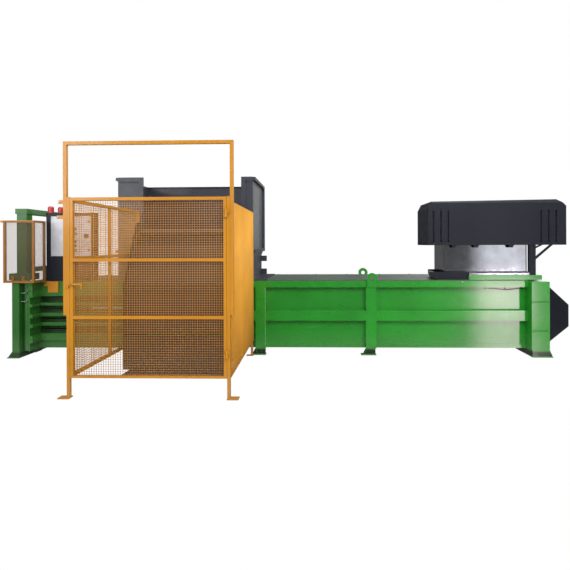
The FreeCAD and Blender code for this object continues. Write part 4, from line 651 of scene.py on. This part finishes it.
PANEL_FRONT_M = -1.6955           # scene y at which the right side panel begins to slant
PANEL_SHIFT_M, PANEL_DEPTH_M = 0.028, 1.9  # how far it has slanted at that depth
PANEL_RAISE_M, TOP_RAIL_M = 0.023, 1.95    # how much higher all that lies above TOP_RAIL_M stands
LEG_HALF, LEG_FRONT, LEG_TOP = 16, 33, 206 # the leg's half width, how far it reaches forward, and its top
FOOT_LEFT, FOOT_RIGHT, FOOT_DEPTH, FOOT_PLATE = 75, 25, 62, 8
LEG_SEAM_HALF, LEG_SEAM_IN = 17, 17


def lean(obj):
    """The right side panel stands a little askew and a little higher at its top rail."""
    for v in obj.data.vertices:
        v.co.x += -PANEL_SHIFT_M / PANEL_DEPTH_M * max(0.0, v.co.y - PANEL_FRONT_M)
        if v.co.z > TOP_RAIL_M:
            v.co.z += PANEL_RAISE_M


def copy_of(node):
    """A bmesh with a CAD node's shape, in the scene's frame."""
    bm = bmesh.new()
    bm.from_mesh(NODES[node].data)
    bm.transform(NODES[node].matrix_world)
    return bm


def right_side_panel():
    """Frame and wires of the right side panel, with its own rear leg and foot plate."""
    obj = piece("side_frame_right_set", copy_of("side_frame_right"), "safety_yellow", slot="safety_yellow")
    lean(obj)
    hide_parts("side_frame_right")
    lean(bpy.data.objects["side_wire_right"])
    lo, hi = hull("side_frame_right")
    x = ((lo.x + hi.x) / 2 - SX - PANEL_SHIFT_M) * 1000
    rear = (hi.y - SY) * 1000
    bm = bmesh.new()
    block(bm, x - LEG_HALF, x + LEG_HALF, rear - LEG_FRONT, rear - 1, FOOT_PLATE, LEG_TOP, 1.5)
    block(bm, x - FOOT_LEFT, x + FOOT_RIGHT, rear - FOOT_DEPTH, rear, 0, FOOT_PLATE, 1.0)
    seam_y, seam_z = rear - LEG_SEAM_IN, FOOT_PLATE + 2
    bead(bm, (x - LEG_SEAM_HALF, seam_y, seam_z), (x + LEG_SEAM_HALF, seam_y, seam_z), 3.0, 5.0)
    piece("side_panel_leg", bm, "safety_yellow", slot="safety_yellow")


# ---- details of the hopper and the power unit --------------------------------------------------------
INSET = {"x0": 3330, "x1": 3332.5, "y0": 34, "y1": 700, "z0": 1500, "z1": 2450}
WINGS = ((1365, 1733), (3163, 3322))                # left and right edge of each wing
LIP_LOW, LIP_HIGH, LIP_REACH = 2470, 2484, 6
WING_SEAM_LEVEL = 1078
STEP_SEAM = ((3366, 2, 1504), (3366, 1196, 1504))
RING_BOLTS_X, RING_BOLTS_Y, RING_TOP = (3480, 1220), (120, 420, 720, 1000), 1074


def hopper_details():
    """Plain inset sheet on the right wall, folded lips of the wings, bolts of the base ring."""
    bm = bmesh.new()
    block(bm, **INSET, edge=0.8)
    piece("hopper_inset", bm, "inset_grey", slot="grey_plate")
    bm = bmesh.new()
    for left, right in WINGS:
        block(bm, left, right, -LIP_REACH, 0, LIP_LOW, LIP_HIGH, 1.5)
        bead(bm, (left + 6, TOE, WING_SEAM_LEVEL), (right - 6, TOE, WING_SEAM_LEVEL), 3.5)
    bead(bm, *STEP_SEAM, 3.0)
    piece("hopper_folds", bm, "anthracite", slot="anthracite")
    bm = bmesh.new()
    for y in RING_BOLTS_Y:
        for x in RING_BOLTS_X:
            bolt(bm, (x, y, RING_TOP), UP)
    piece("ring_bolts", bm, "steel", slot="steel")


TRAY_END, TRAY_FRONT = 6000, -10  # what lies left of TRAY_END rakes back from the tray's front
TRAY_RAKE = 0.205                 # shift to the right for each metre of depth
TRAY_LIP_M, TRAY_LIP_SHARE = 0.1, 0.4  # within that distance of TRAY_END the shift is only this share


def tray_with_raked_end():
    """The tank's drip tray, whose left end rakes back to the right."""
    bm = copy_of("drip_tray")
    start, front = at(TRAY_END, 0, 0).x, at(0, TRAY_FRONT, 0).y
    for v in bm.verts:
        if v.co.x < start:
            share = 1 if v.co.x < start - TRAY_LIP_M else TRAY_LIP_SHARE
            v.co.x += TRAY_RAKE * (v.co.y - front) * share
    obj = piece("drip_tray_raked", bm, "black_paint", slot="black_paint")
    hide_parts("drip_tray")


SLOTS_X = (5905.0, 6010.0, 6115.0, 7420.0, 7525.0, 7630.0)
SLOT_ROWS, SLOTS_LOW, SLOTS_HIGH, SLOT_LAND = 4, 1600.0, 2070.0, 24
BAR_FACE, BAR_BACK, BAR_HALF, SLOT_WIDTH = -19.5, -15.5, 7, 26
BROW_FACE, BROW_BACK, BROW_LOW, BROW_HIGH = -21.5, -20, 23, 18  # lip over a slot, levels down from its top
FOLD_LOW, FOLD_HIGH, FOLD_FRONT, FOLD_REAR = 1556, 1580, -22, 691
HOOD_LEFT, HOOD_RIGHT = 5845, 7781
TANK_BASE_BOLTS_X, TANK_BASE_Y, TANK_BASE_TOP = (6500, 6800, 7100), -40, 1130
TANK_LID_BOLTS_X, TANK_LID_Y, TANK_LID_TOP = (6460, 6760, 7060, 7230), 8, 1175
MOTOR_LEFT, MOTOR_RIGHT, MOTOR_Y, MOTOR_Z, MOTOR_RADIUS = 6360, 6800, 331.5, 1770.0, 150.0
FIN_COUNT, FIN_RADIUS_M, FIN_REACH = 28, 0.0065, 4
BARE_BELOW, BARE_ABOVE = -0.75, 0.9                 # sine of the angle beyond which there are no fins


def hood_slots():
    """Louvre bars across the hood's slots."""
    bm = bmesh.new()
    pitch = (SLOTS_HIGH - SLOTS_LOW) / SLOT_ROWS
    gap = (pitch - SLOT_LAND) / 3
    for x in SLOTS_X:
        for i in range(SLOT_ROWS):
            z = SLOTS_LOW + i * pitch
            for k in (1, 2):
                middle = z + gap * k
                block(bm, x - 1, x + SLOT_WIDTH + 1, BAR_FACE, BAR_BACK, middle - BAR_HALF, middle + BAR_HALF)
            top = z + pitch
            block(bm, x - 4, x + SLOT_WIDTH + 4, BROW_FACE, BROW_BACK, top - BROW_LOW, top - BROW_HIGH)
    piece("hood_louvres", bm, "black_paint", slot="black_paint")


def motor_fins():
    """Cooling fins round the motor, with bare strips above and below."""
    bm = bmesh.new()
    reach = MOTOR_RADIUS + FIN_REACH
    for k in range(FIN_COUNT):
        t = 2 * math.pi * k / FIN_COUNT
        across, up = math.cos(t), math.sin(t)
        if BARE_BELOW <= up <= BARE_ABOVE:
            y, z = MOTOR_Y + across * reach, MOTOR_Z + up * reach
            prism(bm, at(MOTOR_LEFT, y, z), at(MOTOR_RIGHT, y, z), FIN_RADIUS_M, 4)
    piece("motor_fins", bm, "black_paint", slot="black_paint")


def power_details():
    """Louvres and folded edge of the hood, the tank's bolts, the motor's fins."""
    hood_slots()
    bm = bmesh.new()
    block(bm, HOOD_LEFT + 2, HOOD_RIGHT, FOLD_FRONT, FOLD_FRONT + 2, FOLD_LOW, FOLD_HIGH, 0.6)
    for x in (HOOD_LEFT, HOOD_RIGHT):
        block(bm, x, x + 2, FOLD_FRONT + 4, FOLD_REAR, FOLD_LOW, FOLD_HIGH, 0.6)
    piece("hood_fold", bm, "black_paint", slot="black_paint")
    bm = bmesh.new()
    for x in TANK_BASE_BOLTS_X:
        bolt(bm, (x, TANK_BASE_Y, TANK_BASE_TOP), UP)
    for x in TANK_LID_BOLTS_X:
        bolt(bm, (x, TANK_LID_Y, TANK_LID_TOP), UP, 6.0, 5.0)
    piece("tank_bolts", bm, "steel", slot="steel")
    motor_fins()


channel_bolts()
channel_welds()
flange_cable()
outlet_hose()
cage_details()
cabinet_details()
hopper_details()
power_details()
right_side_panel()
tray_with_raked_end()


# ---- floor, light, camera ----------------------------------------------------------------------------
# What the paint mirrors, by the slopes of the mirrored ray: sideways and height, over the way to the viewer.
GATEWAY_STARTS, GATEWAY_ENDS = (0.320, 0.366), (0.446, 0.466)
GATEWAY_RISE = (-0.082, -0.073)   # the lit floor lies below, the pale wall above
GATEWAY_TOP = (0.16, 0.3)         # the wall fades out between these
GATEWAY_NEAR = (-0.2, -0.11)      # the floor is dimmer below these
GATEWAY_NEAR_SHARE = 0.55
GATEWAY_FLOOR, GATEWAY_WALL = 15.0, 0.95
GATEWAY_TINT = (1.0, 0.74, 0.86, 1)
HALL = 0.11                       # the rest of the hall
HALL_WINDOWS = 0.85               # what faces that look away from the viewer mirror above eye level
WINDOW_DEPTH, WINDOW_HEIGHT, WINDOW_SIDE = (0.3, 0.7), (-0.03, 0.03), (0.1, 0.3)
SOFT_LIGHT, BACKDROP = 0.55, 1.0  # light from all round, and the white behind the object
NEVER_ZERO = 0.001                # least length that a slope is taken over


def hall(scene):
    """Soft light from all round; the paint mirrors a dim hall with one bright gateway."""
    world = bpy.data.worlds.new("studio")
    scene.world = world
    world.use_nodes = True
    tree = world.node_tree
    tree.nodes.clear()

    def value(operation, a, b):
        node = tree.nodes.new("ShaderNodeMath")
        node.operation = operation
        for socket, source in zip(node.inputs, (a, b)):
            if isinstance(source, (int, float)):
                socket.default_value = source
            else:
                tree.links.new(source, socket)
        return node.outputs[0]

    def product(a, b):
        return value("MULTIPLY", a, b)

    def step(source, limits, before, after):
        """From before to after, smoothly, between two limits of the source."""
        node = tree.nodes.new("ShaderNodeMapRange")
        node.interpolation_type = "SMOOTHSTEP"
        tree.links.new(source, node.inputs["Value"])
        for name, number in zip(("From Min", "From Max", "To Min", "To Max"), (*limits, before, after)):
            node.inputs[name].default_value = number
        return node.outputs["Result"]

    def background(level, colour=(1, 1, 1, 1)):
        node = tree.nodes.new("ShaderNodeBackground")
        node.inputs["Color"].default_value = colour
        if isinstance(level, float):
            node.inputs["Strength"].default_value = level
        else:
            tree.links.new(level, node.inputs["Strength"])
        return node.outputs["Background"]

    def choose(fac, a, b):
        node = tree.nodes.new("ShaderNodeMixShader")
        tree.links.new(fac, node.inputs["Fac"])
        tree.links.new(a, node.inputs[1])
        tree.links.new(b, node.inputs[2])
        return node.outputs["Shader"]

    coord = tree.nodes.new("ShaderNodeTexCoord").outputs["Generated"]
    split = tree.nodes.new("ShaderNodeSeparateXYZ")
    tree.links.new(coord, split.inputs["Vector"])
    ray_x, ray_y, ray_z = split.outputs
    ahead = value("MAXIMUM", product(ray_y, -1.0), NEVER_ZERO)
    sideways = value("DIVIDE", ray_x, ahead)
    rise = value("DIVIDE", ray_z, ahead)
    gateway = product(step(sideways, GATEWAY_STARTS, 0.0, 1.0), step(sideways, GATEWAY_ENDS, 1.0, 0.0))
    gateway = product(gateway, step(rise, GATEWAY_TOP, 1.0, 0.0))
    lit_floor = product(step(rise, GATEWAY_RISE, GATEWAY_FLOOR, 0.0),
                        step(rise, GATEWAY_NEAR, GATEWAY_NEAR_SHARE, 1.0))
    lit_floor = product(gateway, lit_floor)
    wall = product(gateway, step(rise, GATEWAY_RISE, 0.0, GATEWAY_WALL))
    windows = product(step(ray_y, WINDOW_DEPTH, 0.0, HALL_WINDOWS), step(ray_z, WINDOW_HEIGHT, 0.0, 1.0))
    windows = product(windows, step(ray_x, WINDOW_SIDE, 0.0, 1.0))
    level = value("ADD", value("ADD", wall, windows), HALL)
    both = tree.nodes.new("ShaderNodeAddShader")
    tree.links.new(background(lit_floor, GATEWAY_TINT), both.inputs[0])
    tree.links.new(background(level), both.inputs[1])
    path = tree.nodes.new("ShaderNodeLightPath")
    mirrored = choose(path.outputs["Is Glossy Ray"], background(SOFT_LIGHT), both.outputs["Shader"])
    seen = choose(path.outputs["Is Camera Ray"], mirrored, background(BACKDROP))
    out = tree.nodes.new("ShaderNodeOutputWorld")
    tree.links.new(seen, out.inputs["Surface"])


FLOOR_HALF = 60.0                 # metres
FLOOR_GREY = (0.6, 0.6, 0.6, 1)   # what the floor throws back on the object
LAMPS = (                         # name, place, target, width and height in metres, power in watts, mirrored
    ("key", (3.0, -7.5, 6.0), (0.0, 0.0, 1.0), (7.0, 4.0), 560, True),
    ("fill", (-6.0, -6.0, 3.5), (-1.5, 0.0, 1.0), (4.0, 3.0), 170, True),
    ("top", (0.0, 1.0, 7.0), (0.0, 0.5, 1.0), (9.0, 4.0), 260, True),
    ("back", (0.0, 9.0, 4.5), (0.0, 1.0, 1.0), (9.0, 4.0), 420, False),
)


def white_floor(scene):
    """A floor that the camera sees pure white and the light sees grey; no paint mirrors it."""
    bm = bmesh.new()
    bmesh.ops.create_grid(bm, x_segments=1, y_segments=1, size=FLOOR_HALF)
    mesh = bpy.data.meshes.new("floor")
    bm.to_mesh(mesh)
    bm.free()
    floor = bpy.data.objects.new("floor", mesh)
    scene.collection.objects.link(floor)
    mat = bpy.data.materials.new("floor_white")
    mat.use_nodes = True
    tree = mat.node_tree
    tree.nodes.clear()
    out = tree.nodes.new("ShaderNodeOutputMaterial")
    path = tree.nodes.new("ShaderNodeLightPath")
    glow = tree.nodes.new("ShaderNodeEmission")
    glow.inputs["Color"].default_value = (1, 1, 1, 1)
    glow.inputs["Strength"].default_value = 1.0
    diffuse = tree.nodes.new("ShaderNodeBsdfDiffuse")
    diffuse.inputs["Color"].default_value = FLOOR_GREY
    mix = tree.nodes.new("ShaderNodeMixShader")
    tree.links.new(path.outputs["Is Camera Ray"], mix.inputs["Fac"])
    tree.links.new(diffuse.outputs["BSDF"], mix.inputs[1])
    tree.links.new(glow.outputs["Emission"], mix.inputs[2])
    tree.links.new(mix.outputs["Shader"], out.inputs["Surface"])
    floor.visible_glossy = False
    mesh.materials.append(mat)


def studio():
    """Floor, surroundings and lamps."""
    scene = bpy.context.scene
    white_floor(scene)
    hall(scene)
    for name, place, target, (width, height), power, mirrored in LAMPS:
        data = bpy.data.lights.new(name, "AREA")
        data.shape = "RECTANGLE"
        data.size, data.size_y = width, height
        data.energy = power
        obj = bpy.data.objects.new(name, data)
        obj.visible_camera = False
        if not mirrored:
            obj.visible_glossy = False
        obj.location = place
        obj.rotation_euler = (Vector(target) - Vector(place)).to_track_quat("-Z", "Y").to_euler()
        scene.collection.objects.link(obj)


CAMERA = (4270.0, -6630.0, 1594.0)          # in the machine frame
PICTURE_PX, FOCAL_PX = 570.0, 460.0         # width of the photograph, and its focal length
SHIFT_PX = (-20.2, -42.0)                   # its optical centre, from the middle
YAW_DEGREES, ROLL_RADIANS = 1.6, -0.0035
SENSOR_MM, FAR_M = 36.0, 200.0


def camera():
    """The photograph's camera, solved from the ground contacts and the vanishing lines."""
    scene = bpy.context.scene
    data = bpy.data.cameras.new("camera")
    data.sensor_width = SENSOR_MM
    data.lens = SENSOR_MM * FOCAL_PX / PICTURE_PX
    data.shift_x, data.shift_y = SHIFT_PX[0] / PICTURE_PX, SHIFT_PX[1] / PICTURE_PX
    data.clip_end = FAR_M
    obj = bpy.data.objects.new("camera", data)
    scene.collection.objects.link(obj)
    turn = Matrix.Rotation(math.radians(YAW_DEGREES), 4, "Z") @ Matrix.Rotation(math.radians(90.0), 4, "X")
    turn = turn @ Matrix.Rotation(ROLL_RADIANS, 4, "Z")
    obj.matrix_world = Matrix.Translation(at(*CAMERA)) @ turn
    scene.camera = obj


studio()
camera()
bpy.context.scene.view_settings.view_transform = "Standard"
